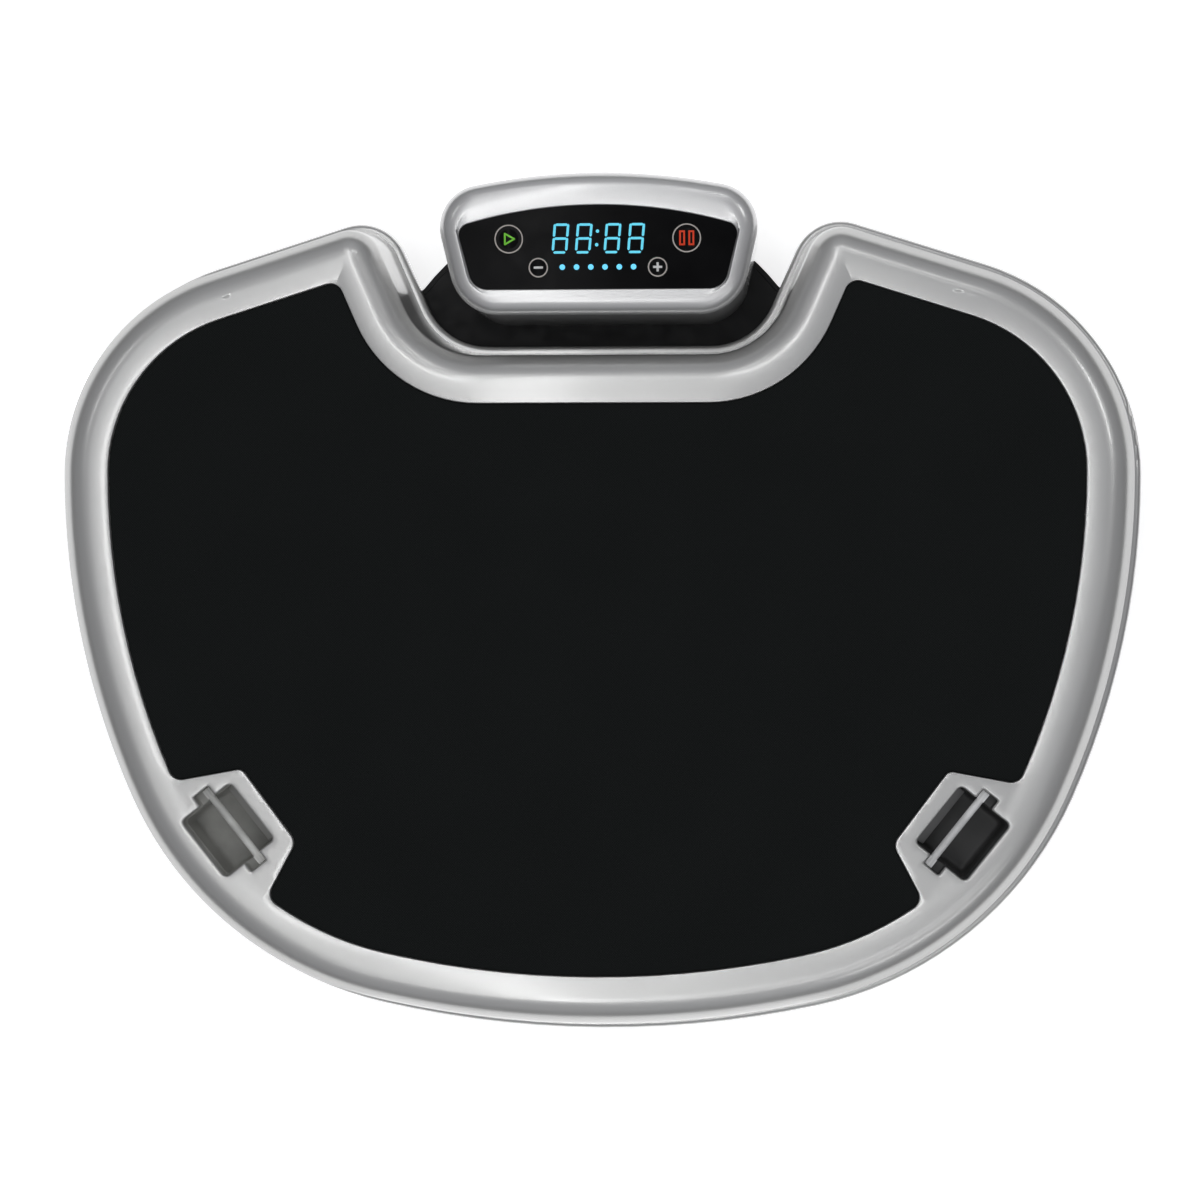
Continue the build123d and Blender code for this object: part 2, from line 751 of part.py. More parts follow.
# Steel deck plate with two folded stiffeners and four isolator seats welded under it.
with BuildPart() as deck_plate:
    with BuildSketch(Plane.XY.offset(deck_plate_bottom)):
        add(deck_outline(34, 10))
        add(both_sides(rear_corner(4.0)), mode=Mode.SUBTRACT)
        with Locations(*deck_screw_places):
            Circle(2.5 + bolt_gap, mode=Mode.SUBTRACT)
    extrude(amount=steel)
    with BuildSketch(Plane.XY.offset(deck_plate_bottom)):
        with GridLocations(0, stiffener_spacing, 1, 2):
            Rectangle(340, 24)
            Rectangle(340, 18, mode=Mode.SUBTRACT)
    extrude(amount=-12.0)
    with BuildSketch(Plane.XY.offset(deck_plate_bottom - 12.0)):
        with GridLocations(0, stiffener_spacing, 1, 2):
            Rectangle(340, 24)
    extrude(amount=steel)
    with BuildSketch(Plane.XY.offset(isolator_top)):
        with Locations(*isolator_spots):
            Circle(20.0)
            Circle(15.0, mode=Mode.SUBTRACT)
    extrude(amount=deck_plate_bottom - isolator_top)
    with BuildSketch(Plane.XY.offset(isolator_top)):
        with Locations(*isolator_spots):
            Circle(15.0)
            Circle(4 + bolt_gap, mode=Mode.SUBTRACT)
    extrude(amount=4.0)
    with BuildSketch(Plane.XY.offset(deck_plate_bottom)):
        with Locations(*isolator_spots):
            Circle(11.0)
    extrude(amount=steel, mode=Mode.SUBTRACT)
save(deck_plate, "deck_plate")

isolator_bolts = bolt(6.5, 6.0, 4.0, 16.0, isolator_spots, isolator_top + 4.0, False)
save(isolator_bolts, "isolator_bolts")

# Deck shell: the silver moulded rim and top, ribbed underneath.
plate_top = deck_plate_bottom + steel
with BuildPart() as shell_hollow:
    with BuildSketch(Plane.XY.offset(skirt_top)):
        add(deck_outline(skirt_step + shell_wall))
    extrude(amount=shell_ceiling - skirt_top, taper=wall_draft)
    fillet(shell_hollow.faces().sort_by(Axis.Z)[-1].edges(), shoulder_roll - shell_wall)

with BuildPart() as deck_shell:
    with BuildSketch(Plane.XY.offset(skirt_top)):
        add(deck_outline(skirt_step))
    extrude(amount=crest_top - skirt_top, taper=wall_draft)
    fillet(deck_shell.faces().sort_by(Axis.Z)[-1].edges(), shoulder_roll)
    with BuildSketch(Plane.XY.offset(mat_top + 0.3)):
        add(deck_outline(mat_inset, mat_horn_radius))
    with BuildSketch(Plane.XY.offset(crest_top + 0.01)):
        add(deck_outline(crest_inset, 6))
    loft(ruled=True, mode=Mode.SUBTRACT)
    with BuildSketch(Plane.XY.offset(mat_top)):
        add(both_sides(strap_land()))
        add(deck_outline(crest_inset), mode=Mode.INTERSECT)
    extrude(amount=land_top - mat_top)
    with BuildSketch(Plane.XY.offset(mat_floor)):
        add(mat_outline(0))
    extrude(amount=20, mode=Mode.SUBTRACT)
    add(shell_hollow.part, mode=Mode.SUBTRACT)
    with BuildSketch(Plane.XY.offset(plate_top)):
        with GridLocations(58, 0, 11, 1):
            Rectangle(2.4, 560)
        with GridLocations(0, 58, 1, 9):
            Rectangle(700, 2.4)
        add(deck_outline(31, 10), mode=Mode.INTERSECT)
        with Locations(*isolator_spots):
            Circle(14, mode=Mode.SUBTRACT)
        with Locations(*deck_screw_places):
            Circle(6.0)
    extrude(amount=shell_ceiling - plate_top)
    with BuildSketch(Plane.XY.offset(skirt_bottom + 5.0)):
        with Locations(*skirt_screw_places):
            Circle(5.0)
    extrude(amount=20.0)
    with BuildSketch(Plane.XY.offset(skirt_bottom + 5.0)):
        with Locations(*skirt_screw_places):
            Circle(2 + bolt_gap)
    extrude(amount=15.0, mode=Mode.SUBTRACT)
    with BuildSketch(Plane.XY.offset(plate_top)):
        with Locations(*deck_screw_places):
            Circle(2.5 + bolt_gap)
    extrude(amount=9.0, mode=Mode.SUBTRACT)
    with BuildSketch(Plane.XY.offset(plate_top)):
        add(both_sides(strap_pocket(strap_wall)))
        add(both_sides(strap_ledges(strap_wall)))
    extrude(amount=40, mode=Mode.SUBTRACT)
# The shell's two rear corners, which hold the strap cups, are pieces of their own.
for side_name, side in (("right", 1), ("left", -1)):
    with BuildPart() as deck_corner:
        add(deck_shell.part)
        with BuildSketch(Plane.XY.offset(skirt_bottom)):
            add(rear_corner(0) if side > 0 else mirror(rear_corner(0), about=Plane.YZ, mode=Mode.PRIVATE))
        extrude(amount=100, mode=Mode.INTERSECT)
    save(deck_corner, f"deck_corner_{side_name}")

with BuildPart() as deck_cover:
    add(deck_shell.part)
    with BuildSketch(Plane.XY.offset(skirt_bottom)):
        add(both_sides(rear_corner(0)))
    extrude(amount=100, mode=Mode.SUBTRACT)
save(deck_cover, "deck_shell")

deck_screws = bolt(4.8, 3.0, 2.5, 11.0, deck_screw_places, deck_plate_bottom, True)
save(deck_screws, "deck_screws")

# Deck skirt: the lower silver lip, with an inner flange for its screws.
with BuildPart() as deck_skirt:
    with BuildSketch(Plane.XY.offset(skirt_bottom)):
        add(deck_outline(0))
    extrude(amount=skirt_top - skirt_bottom)
    fillet(deck_skirt.faces().sort_by(Axis.Z)[-1].edges(), 3.0)
    fillet(deck_skirt.faces().sort_by(Axis.Z)[0].edges(), 1.0)
    with BuildSketch(Plane.XY.offset(skirt_bottom + 5.0)):
        add(deck_outline(skirt_step + shell_wall))
    extrude(amount=20, mode=Mode.SUBTRACT)
    with BuildSketch(Plane.XY.offset(skirt_bottom)):
        add(deck_outline(20))
    extrude(amount=20, mode=Mode.SUBTRACT)
    with BuildSketch(Plane.XY.offset(skirt_bottom)):
        with Locations(*skirt_screw_places):
            Circle(2 + bolt_gap)
    extrude(amount=10, mode=Mode.SUBTRACT)
    with BuildSketch(Plane.XY.offset(skirt_bottom)):
        with Locations(*skirt_screw_places):
            Circle(4.0 + bolt_gap)
    extrude(amount=3.0, mode=Mode.SUBTRACT)
save(deck_skirt, "deck_skirt")

skirt_screws = bolt(4.0, 2.6, 2.0, 14.0, skirt_screw_places, skirt_bottom + 3.0, True)
save(skirt_screws, "skirt_screws")

with BuildPart() as deck_mat:
    with BuildSketch(Plane.XY.offset(mat_floor)):
        add(mat_outline(0.3))
    extrude(amount=mat_top - mat_floor)
    fillet(deck_mat.faces().sort_by(Axis.Z)[-1].edges(), 0.8)
save(deck_mat, "deck_mat")

# Strap cups, and the bars that a resistance strap loops round.
bar_level = land_top - 5.5
for side_name, side in (("right", 1), ("left", -1)):
    with BuildPart() as strap_cup:
        with BuildSketch(Plane.XY.offset(land_top - strap_depth - strap_wall)):
            add(strap_pocket(strap_wall - 0.1))
        extrude(amount=strap_depth + strap_wall)
        with BuildSketch(Plane.XY.offset(land_top - ledge_depth - strap_wall)):
            add(strap_ledges(strap_wall - 0.1))
        extrude(amount=ledge_depth + strap_wall)
        with BuildSketch(Plane.XY.offset(land_top - strap_depth)):
            add(strap_pocket(0))
        extrude(amount=strap_depth, mode=Mode.SUBTRACT)
        with BuildSketch(Plane.XY.offset(land_top - ledge_depth)):
            add(strap_ledges(0))
        extrude(amount=ledge_depth, mode=Mode.SUBTRACT)
        if side < 0:
            mirror(about=Plane.YZ, mode=Mode.REPLACE)
    save(strap_cup, f"strap_cup_{side_name}")
    bar_direction = (cos(radians(strap_angle)) * side, sin(radians(strap_angle)), 0)
    bar_centre = (strap_centre[0] * side, strap_centre[1], bar_level)
    with BuildPart() as strap_bar:
        with BuildSketch(Plane(origin=bar_centre, z_dir=bar_direction)):
            Circle(strap_bar_radius)
        extrude(amount=strap_bar_length / 2 - 0.2, both=True)
        chamfer(strap_bar.edges().filter_by(GeomType.CIRCLE), 0.4)
        with Locations(
            Location((bar_centre[0], bar_centre[1], land_top - ledge_depth), (0, 0, strap_angle * side)),
        ):
            with GridLocations(strap_length + 7.0, 0, 2, 1):
                Box(6.0, 5.0, 6.0, align=(Align.CENTER, Align.CENTER, Align.MIN))
    save(strap_bar, f"strap_bar_{side_name}")


# ---------------------------------------------------------------- drive

shaft_line = Plane(origin=(0, 0, motor_z), x_dir=(0, 1, 0), z_dir=(1, 0, 0))
can_end = can_length / 2

with BuildPart() as motor_housing:
    with BuildSketch(shaft_line):
        Circle(can_radius)
        Circle(can_radius - 3.0, mode=Mode.SUBTRACT)
    extrude(amount=can_end, both=True)
save(motor_housing, "motor_housing")

with BuildPart() as stator:
    with BuildSketch(shaft_line):
        Circle(can_radius - 3.05)
        Circle(core_radius + 1.0, mode=Mode.SUBTRACT)
    extrude(amount=core_length / 2 + 2.0, both=True)
save(stator, "stator")

for side_name, side in (("right", 1), ("left", -1)):
    inner_face = shaft_line.offset(side * can_end)
    with BuildPart() as bell:
        with BuildSketch(inner_face):
            Circle(can_radius)
        extrude(amount=side * end_bell)
        fillet(bell.faces().sort_by(Axis.X)[-1 if side > 0 else 0].edges(), 2.0)
        with BuildSketch(inner_face):
            Circle(bearing_radius + 0.02)
        extrude(amount=side * bearing_width, mode=Mode.SUBTRACT)
        with BuildSketch(inner_face):
            Circle(shaft_radius + 2.0)
        extrude(amount=side * end_bell, mode=Mode.SUBTRACT)
    save(bell, f"end_bell_{side_name}")

with BuildPart() as motor_bearings:
    for side in (1, -1):
        with BuildSketch(shaft_line.offset(side * can_end)):
            Circle(bearing_radius)
            Circle(shaft_radius + 0.05, mode=Mode.SUBTRACT)
        extrude(amount=side * bearing_width)
save(motor_bearings, "motor_bearings")

with BuildPart() as weight_guards:
    for side in (1, -1):
        with BuildSketch(shaft_line.offset(side * (can_end + end_bell))):
            Circle(guard_radius)
        extrude(amount=side * guard_length)
        with BuildSketch(shaft_line.offset(side * (can_end + end_bell))):
            Circle(guard_radius - guard_wall)
        extrude(amount=side * (guard_length - guard_wall), mode=Mode.SUBTRACT)
save(weight_guards, "weight_guards")

shaft_end = weight_x + weight_thickness / 2 + 5.0
with BuildPart() as rotor_shaft:
    with BuildSketch(shaft_line):
        Circle(shaft_radius)
    extrude(amount=shaft_end, both=True)
    chamfer(rotor_shaft.edges().filter_by(GeomType.CIRCLE), 0.8)
save(rotor_shaft, "rotor_shaft")

with BuildPart() as rotor_core:
    with BuildSketch(shaft_line):
        Circle(core_radius)
        Circle(shaft_radius, mode=Mode.SUBTRACT)
        with PolarLocations(core_radius, 16):
            Rectangle(5.0, 1.6, mode=Mode.SUBTRACT)
    extrude(amount=core_length / 2, both=True)
save(rotor_core, "rotor_core")

for side_name, side in (("right", 1), ("left", -1)):
    with BuildPart() as weight:
        with BuildSketch(shaft_line.offset(side * (weight_x - weight_thickness / 2))):
            Circle(weight_radius)
            Rectangle(
                2 * weight_radius,
                weight_radius,
                align=(Align.CENTER, Align.MIN),
                mode=Mode.SUBTRACT,
            )
            Circle(weight_hub_radius)
            Circle(shaft_radius, mode=Mode.SUBTRACT)
        extrude(amount=side * weight_thickness)
    save(weight, f"eccentric_{side_name}")

# Cast saddles under the deck plate, and the steel bands that clamp the motor into them.
band_level = motor_z + 18.0
with BuildPart() as motor_saddles:
    with Locations((-saddle_x, 0, band_level), (saddle_x, 0, band_level)):
        Box(26, 106, deck_plate_bottom - band_level, align=(Align.CENTER, Align.CENTER, Align.MIN))
    with BuildSketch(shaft_line):
        Circle(can_radius + 0.05)
    extrude(amount=can_length, both=True, mode=Mode.SUBTRACT)
    with BuildSketch(Plane.XY.offset(band_level)):
        with Locations(*saddle_bolt_places):
            Circle(3 + bolt_gap)
    extrude(amount=deck_plate_bottom - band_level - 3.0, mode=Mode.SUBTRACT)
save(motor_saddles, "motor_saddles")

with BuildPart() as motor_bands:
    for band_x in (-saddle_x, saddle_x):
        with BuildSketch(shaft_line.offset(band_x)):
            Circle(can_radius + 2.05)
            with Locations((0, 18.0)):
                Rectangle(106, 2.0, align=(Align.CENTER, Align.MAX))
                Rectangle(120, 60, align=(Align.CENTER, Align.MIN), mode=Mode.SUBTRACT)
            Circle(can_radius + 0.05, mode=Mode.SUBTRACT)
        extrude(amount=10, both=True)
    with BuildSketch(Plane.XY.offset(band_level)):
        with Locations(*saddle_bolt_places):
            Circle(3 + bolt_gap)
    extrude(amount=-8.0, mode=Mode.SUBTRACT)
save(motor_bands, "motor_bands")

saddle_bolts = bolt(5.0, 4.0, 3.0, 22.0, saddle_bolt_places, band_level - 2.0, True)
save(saddle_bolts, "saddle_bolts")
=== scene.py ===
import json
from math import acos, atan2, cos, pi, radians, sin, sqrt, tan

import bmesh
import bpy
import numpy as np
from mathutils import Matrix, Vector
from mathutils.geometry import delaunay_2d_cdt


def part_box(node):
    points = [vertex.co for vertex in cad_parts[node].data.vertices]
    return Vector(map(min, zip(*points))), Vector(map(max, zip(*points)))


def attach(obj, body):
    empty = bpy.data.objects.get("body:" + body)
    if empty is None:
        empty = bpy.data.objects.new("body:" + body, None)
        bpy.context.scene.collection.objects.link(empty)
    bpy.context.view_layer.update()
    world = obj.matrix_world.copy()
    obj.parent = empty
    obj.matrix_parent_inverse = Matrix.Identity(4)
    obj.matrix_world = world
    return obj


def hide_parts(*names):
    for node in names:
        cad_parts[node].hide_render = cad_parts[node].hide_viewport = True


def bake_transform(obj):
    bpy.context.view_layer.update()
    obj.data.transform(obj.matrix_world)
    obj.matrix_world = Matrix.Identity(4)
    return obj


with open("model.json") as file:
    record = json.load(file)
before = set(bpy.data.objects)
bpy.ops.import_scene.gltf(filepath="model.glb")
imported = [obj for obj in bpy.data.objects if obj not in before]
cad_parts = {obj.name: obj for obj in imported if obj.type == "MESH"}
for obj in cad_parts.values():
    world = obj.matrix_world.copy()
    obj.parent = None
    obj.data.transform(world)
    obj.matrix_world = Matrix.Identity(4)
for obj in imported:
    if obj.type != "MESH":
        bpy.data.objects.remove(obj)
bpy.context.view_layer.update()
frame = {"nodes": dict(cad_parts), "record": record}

# Looks of a compact vibration plate. Outlines are worked in millimetres, as the plate was
# designed, and turned into metres by MM where a mesh is made.
MM = 0.001
nodes = frame["nodes"]
record = frame["record"]


def level_of(node, top=True):
    """The height of a CAD node's top or bottom, in millimetres."""
    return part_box(node)[1 if top else 0].z / MM


# ---------------------------------------------------------------- driving dimensions

# Deck outline, right half: (radius, turn) of each arc and the straight runs between them.
REAR_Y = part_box("deck_skirt")[0].y / MM
REAR_ARC = (636.4, 12.5)
CORNER_ARC = (229.3, 53.7)
SIDE_ARC = (503.8, 23.8)
SHOULDER_ARC = (139.5, 72.35)
FLANK = 86.3
HORN_ARC = (30.1, 83.95)
THROAT = 38.3
NOTCH_ARC = (41.9, 66.3)
HORN_LEAST = 6.0

# Deck shell section, outside to inside.
SKIRT_STEP = 3.5
WALL = 4.0
DRAFT = 6.0
ROLL_ACROSS = 20.0
ROLL_RISE = 18.0
CREST = 28.5
SHELL_BOTTOM = level_of("deck_shell", top=False)
CREST_TOP = level_of("deck_shell")
MAT_TOP = level_of("deck_mat")
MAT_FLOOR = level_of("deck_mat", top=False)
RIM_FALL = 0.9
LAND_FALL = 0.6
LAND_LEVEL = CREST_TOP - LAND_FALL
RIM_END = 40.0
MAT_GAP = 0.3
EDGE_ROUND = 0.6
SHELL_CEILING = MAT_FLOOR - 3.5
CEILING_INSET = 22.0

# Strap pockets, right-hand one; the left is its mirror image.
STRAP_CENTRE = (222.5, -132.4)
STRAP_ANGLE = radians(51.5)
POCKET_X = 22.0
POCKET_Y = (-23.3, 15.0)
LEDGE_X = 29.0
LEDGE_Y = (-8.5, 3.0)
LEDGE_DEPTH = 9.5
POCKET_DEPTH = 30.0
POCKET_MOUTH = 1.6
POCKET_WELL = 2.6
POCKET_LIP = ((1.0, 0.12), (0.45, 0.5), (0.12, 1.1), (0.0, 1.9), (0.3, 2.2), (POCKET_WELL, 2.4))
LAND_CORNERS = [(217.2, -97.1), (310.0, -114.1), (310.0, -240.0), (222.0, -214.6), (183.5, -141.9)]
LAND_BLEND = 14.0

# The sloped plate in each pocket: half its length, its reach towards the middle, its drop.
SLOPE_HALF = 20.6
SLOPE_REACH = 5.0
SLOPE_DROP = 12.0

# Console: its tilted top plane, and the outlines of the pod and the black window in it.
CONSOLE_ORIGIN = Vector((4.0, 223.0, 142.6))
CONSOLE_TILT = radians(10.0)
BEZEL_THICKNESS = 12.0
POD = (43.2, (102.3, 29.8), (85.5, -43.1), 26.0, 30.0)
WINDOW = (24.3, (86.2, 11.3), (76.7, -26.7), 7.0, 11.5)
PANEL_SINK = 1.0
PANEL_FLOOR = -3.2
BEZEL_ROLL = 9.0
BEZEL_CROWN = 11.5
BEZEL_FALL = 0.5
ARC_STEPS = 14

# Keys: centre and radius of each in the console's plane, and the height of their tops.
KEYS = {
    "play": (-54.2, 4.0, 8.9),
    "pause": (54.2, 4.0, 8.9),
    "minus": (-36.4, -13.5, 6.1),
    "plus": (36.4, -13.5, 6.1),
}
KEY_TOP = -0.9
KEY_DISH = 0.5
INK = 0.04
RING_INSET = (0.15, 0.95)
DIGIT_LEFTS = (-28.3, -14.1, 3.4, 17.8)
COLON_DOTS = ((0.0, 8.4), (-0.6, 0.2))

# Painted shade: the shell's colour is darkened below these heights and beyond these distances from
# its middle, standing in for shade down its steep side walls.
WALL_SHADE = (109.0, 124.0)
SIDE_SHADE = (120.0, 200.0)
PAINTED_SHADE_TONE = 0.34
WEAVE_PITCH = 1.6


# ---------------------------------------------------------------- outlines

def walk(start, steps):
    """Points with headings, from steps of (length, turn in radians, number of pieces)."""
    x, y = start
    heading = 0.0
    points = [(x, y, heading)]
    for length, turn, count in steps:
        piece = turn / count
        chord = length / count
        if turn:
            chord = 2 * (length / abs(turn)) * sin(abs(piece) / 2)
        for _ in range(count):
            x += chord * cos(heading + piece / 2)
            y += chord * sin(heading + piece / 2)
            heading += piece
            points.append((x, y, heading))
    return points


def arc_step(arc, inset, count):
    """A step for walk: an arc of (radius, turn in degrees) drawn in by inset."""
    turn = radians(arc[1])
    return ((arc[0] - inset) * turn, turn, count)


def deck_loop(inset):
    """The deck's outline moved in by inset, anticlockwise: rows of x and y."""
    natural = HORN_ARC[0] - inset
    horn = max(natural, HORN_LEAST)
    trim = (horn - natural) * tan(radians(HORN_ARC[1] / 2))
    notch_turn = radians(NOTCH_ARC[1])
    steps = [
        arc_step(REAR_ARC, inset, 34),
        arc_step(CORNER_ARC, inset, 56),
        arc_step(SIDE_ARC, inset, 52),
        arc_step(SHOULDER_ARC, inset, 50),
        (FLANK - trim, 0.0, 20),
        (horn * radians(HORN_ARC[1]), radians(HORN_ARC[1]), 26),
        (THROAT - trim, 0.0, 10),
        ((NOTCH_ARC[0] + inset) * notch_turn, -notch_turn, 18),
    ]
    right = walk((0.0, REAR_Y + inset), steps)
    x, y, heading = right[-1]
    right += [(x * (1 - step / 16), y, heading) for step in range(1, 17)]
    left = [(-x, y, -h) for x, y, h in reversed(right[1:-1])]
    return np.array(right + left)[:, :2]


def loop_normals(points):
    """Outward normals of a closed anticlockwise loop of points."""
    along = np.roll(points, -1, axis=0) - np.roll(points, 1, axis=0)
    along /= np.linalg.norm(along, axis=1)[:, None]
    return np.stack([along[:, 1], -along[:, 0]], axis=1)


def grown(points, distance):
    """A closed loop moved outward by distance."""
    return points + loop_normals(points) * distance


def rounded(corners, radius, count=6):
    """A closed anticlockwise polygon with every corner rounded; radius may be a list."""
    radii = radius if isinstance(radius, (list, tuple)) else [radius] * len(corners)
    points = []
    for index, corner in enumerate(corners):
        here = Vector(corner)
        back = (Vector(corners[index - 1]) - here).normalized()
        ahead = (Vector(corners[(index + 1) % len(corners)]) - here).normalized()
        half = acos(max(-1.0, min(1.0, back.dot(ahead)))) / 2
        size = radii[index]
        reach = size / tan(half)
        start, end = here + back * reach, here + ahead * reach
        centre = here + (back + ahead).normalized() * (size / sin(half))
        first = atan2(start.y - centre.y, start.x - centre.x)
        sweep = atan2(end.y - centre.y, end.x - centre.x) - first
        sweep = (sweep + pi) % (2 * pi) - pi
        for step in range(count + 1):
            angle = first + sweep * step / count
            points.append((centre.x + size * cos(angle), centre.y + size * sin(angle)))
    return np.array(points)


def arc_points(centre, radius, first, last, steps):
    """Points along an arc from one angle to another, both ends included."""
    angles = [first + (last - first) * step / steps for step in range(steps + 1)]
    return [centre + Vector((cos(angle), sin(angle))) * radius for angle in angles]


def arched_loop(crown, shoulder, heel, shoulder_radius, heel_radius, inset=0.0):
    """An arched trapezoid with rounded corners, drawn in by inset, anticlockwise."""
    across, rise = shoulder[0], crown - shoulder[1]
    top_radius = (across * across + rise * rise) / (2 * rise)
    top_centre = Vector((0.0, crown - top_radius))
    side = (Vector(heel) - Vector(shoulder)).normalized()
    inward = Vector((side.y, -side.x))
    inner = Vector(shoulder) + inward * shoulder_radius - top_centre
    along = inner.dot(side)
    gap = inner.length_squared - (top_radius - shoulder_radius) ** 2
    centre = top_centre + inner + side * (-along - sqrt(along * along - gap))
    arch_end = (centre - top_centre).normalized()
    side_normal = -inward
    arch_angle = atan2(arch_end.y, arch_end.x)
    side_angle = atan2(side_normal.y, side_normal.x)
    heel_shift = heel_radius / tan((pi - abs(side_angle + pi / 2)) / 2)
    heel_centre = Vector(heel) - side * heel_shift + inward * heel_radius
    right = arc_points(heel_centre, heel_radius - inset, -pi / 2, side_angle, ARC_STEPS - 1)
    right += arc_points(centre, shoulder_radius - inset, side_angle, arch_angle, ARC_STEPS - 1)
    right += arc_points(top_centre, top_radius - inset, arch_angle, pi / 2, ARC_STEPS)[1:]
    filled = straightened(right)
    left = [Vector((-p.x, p.y)) for p in reversed(filled[1:-1])]
    return np.array([(p.x, p.y) for p in filled + left])


def straightened(right):
    """Half an arched outline with its straight runs cut into pieces, from its middle line."""
    start = Vector((0.0, right[0].y))
    bottom = [start.lerp(right[0], step / 8) for step in range(8)]
    heel_part, rest = right[:ARC_STEPS], right[ARC_STEPS:]
    side = [heel_part[-1].lerp(rest[0], step / 8) for step in range(1, 8)]
    return bottom + heel_part + side + rest


def inside(points, loop):
    """Which points lie inside a closed loop (even-odd rule)."""
    x, y = points[:, 0][:, None], points[:, 1][:, None]
    x0, y0 = loop[:, 0][None], loop[:, 1][None]
    x1, y1 = np.roll(loop[:, 0], -1)[None], np.roll(loop[:, 1], -1)[None]
    crosses = (y0 > y) != (y1 > y)
    rise = np.where(y1 == y0, 1e-9, y1 - y0)
    return (crosses & (x < x0 + (y - y0) / rise * (x1 - x0))).sum(axis=1) % 2 == 1


def spaced(points, longest):
    """A closed loop with each side cut into pieces no longer than longest."""
    out = []
    for here, ahead in zip(points, np.roll(points, -1, axis=0)):
        count = max(1, int(np.ceil(np.linalg.norm(ahead - here) / longest)))
        out += [here + (ahead - here) * step / count for step in range(count)]
    return np.array(out)


def flat_loop(node):
    """The outline of a CAD node's flat bottom face, anticlockwise, in millimetres."""
    mesh = bmesh.new()
    mesh.from_mesh(nodes[node].data)
    bmesh.ops.remove_doubles(mesh, verts=mesh.verts, dist=1e-6)
    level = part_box(node)[0].z
    flat = {f for f in mesh.faces if all(abs(v.co.z - level) < 1e-5 for v in f.verts)}
    edges = [e for e in mesh.edges if sum(f in flat for f in e.link_faces) == 1]
    links = {}
    for edge in edges:
        a, b = edge.verts
        links.setdefault(a, []).append(b)
        links.setdefault(b, []).append(a)
    first = min(links, key=lambda v: (v.co.y, v.co.x))
    loop, last, here = [], None, first
    while here is not first or not loop:
        loop.append((here.co.x / MM, here.co.y / MM))
        ahead = [v for v in links[here] if v is not last]
        last, here = here, ahead[0]
    mesh.free()
    points = np.array(loop)
    x, y = points[:, 0], points[:, 1]
    area = (x * np.roll(y, -1) - np.roll(x, -1) * y).sum()
    return points if area > 0 else points[::-1]


def turned(points, side):
    """Strap-pocket points in its own axes, placed on the deck on one side."""
    c, s = cos(STRAP_ANGLE), sin(STRAP_ANGLE)
    x = STRAP_CENTRE[0] + points[:, 0] * c - points[:, 1] * s
    y = STRAP_CENTRE[1] + points[:, 0] * s + points[:, 1] * c
    placed = np.stack([x * side, y], axis=1)
    return placed if side > 0 else placed[::-1]


# ---------------------------------------------------------------- meshes

def add_object(name, data):
    """An object linked into the scene."""
    thing = bpy.data.objects.new(name, data)
    bpy.context.scene.collection.objects.link(thing)
    return thing


def make_object(name, vertices, faces, smooth=True):
    """A mesh object from vertices in millimetres, with duplicates merged."""
    mesh = bpy.data.meshes.new(name)
    mesh.from_pydata([tuple(c * MM for c in v) for v in vertices], [], faces)
    work = bmesh.new()
    work.from_mesh(mesh)
    bmesh.ops.remove_doubles(work, verts=work.verts, dist=2e-6)
    bmesh.ops.recalc_face_normals(work, faces=work.faces)
    work.to_mesh(mesh)
    work.free()
    if smooth:
        mesh.shade_smooth()
    return add_object(name, mesh)


def add_rings(vertices, faces, rings):
    """Joins closed rings of 3-D points with equal counts by quads."""
    for ring in rings:
        vertices.extend(ring)
    count = len(rings[0])
    base = len(vertices) - count * len(rings)
    for row in range(len(rings) - 1):
        for index in range(count):
            ahead = (index + 1) % count
            low, high = base + row * count, base + (row + 1) * count
            faces.append((low + index, low + ahead, high + ahead, high + index))


def at_level(points, level):
    """Plan points lifted to a height, which may differ from point to point."""
    levels = np.broadcast_to(level, len(points))
    return [(p[0], p[1], z) for p, z in zip(points, levels)]


def add_cap(vertices, faces, ring, under=False):
    """One face closing a ring, facing down if it is the under side."""
    numbers = range(len(vertices), len(vertices) + len(ring))
    vertices.extend(ring)
    faces.append(tuple(reversed(numbers)) if under else tuple(numbers))


def add_patch(vertices, faces, outer, holes, height, extra=np.zeros((0, 2))):
    """Triangles filling the space inside outer and outside the holes; extra are inner points."""
    loops = [outer] + holes
    points = np.concatenate(loops + [extra])
    edges = []
    start = 0
    for loop in loops:
        count = len(loop)
        edges += [(start + i, start + (i + 1) % count) for i in range(count)]
        start += count
    flat = [Vector((float(p[0]), float(p[1]))) for p in points]
    found, _, triangles, *_ = delaunay_2d_cdt(flat, edges, [], 0, 1e-5)
    found = np.array([(v.x, v.y) for v in found])
    middles = found[np.array([list(t) for t in triangles])].mean(axis=1)
    keep = inside(middles, outer)
    for hole in holes:
        keep &= ~inside(middles, hole)
    base = len(vertices)
    vertices.extend(at_level(found, height(found)))
    faces.extend(tuple(base + i for i in t) for t, kept in zip(triangles, keep) if kept)


# ---------------------------------------------------------------- deck shell

def land_weight(points):
    """1 on a strap pocket's land, falling smoothly to 0 along the rim beyond it."""
    corners = np.array(LAND_CORNERS)
    ahead = np.roll(corners, -1, axis=0)
    along = ahead - corners
    along /= np.linalg.norm(along, axis=1)[:, None]
    mirrored = np.stack([np.abs(points[:, 0]), points[:, 1]], axis=1)
    away = mirrored[:, None] - corners[None]
    outside = -(along[None, :, 0] * -away[:, :, 1] + along[None, :, 1] * away[:, :, 0])
    beyond = np.clip(outside.max(axis=1) / LAND_BLEND, 0, 1)
    return 1 - beyond * beyond * (3 - 2 * beyond)


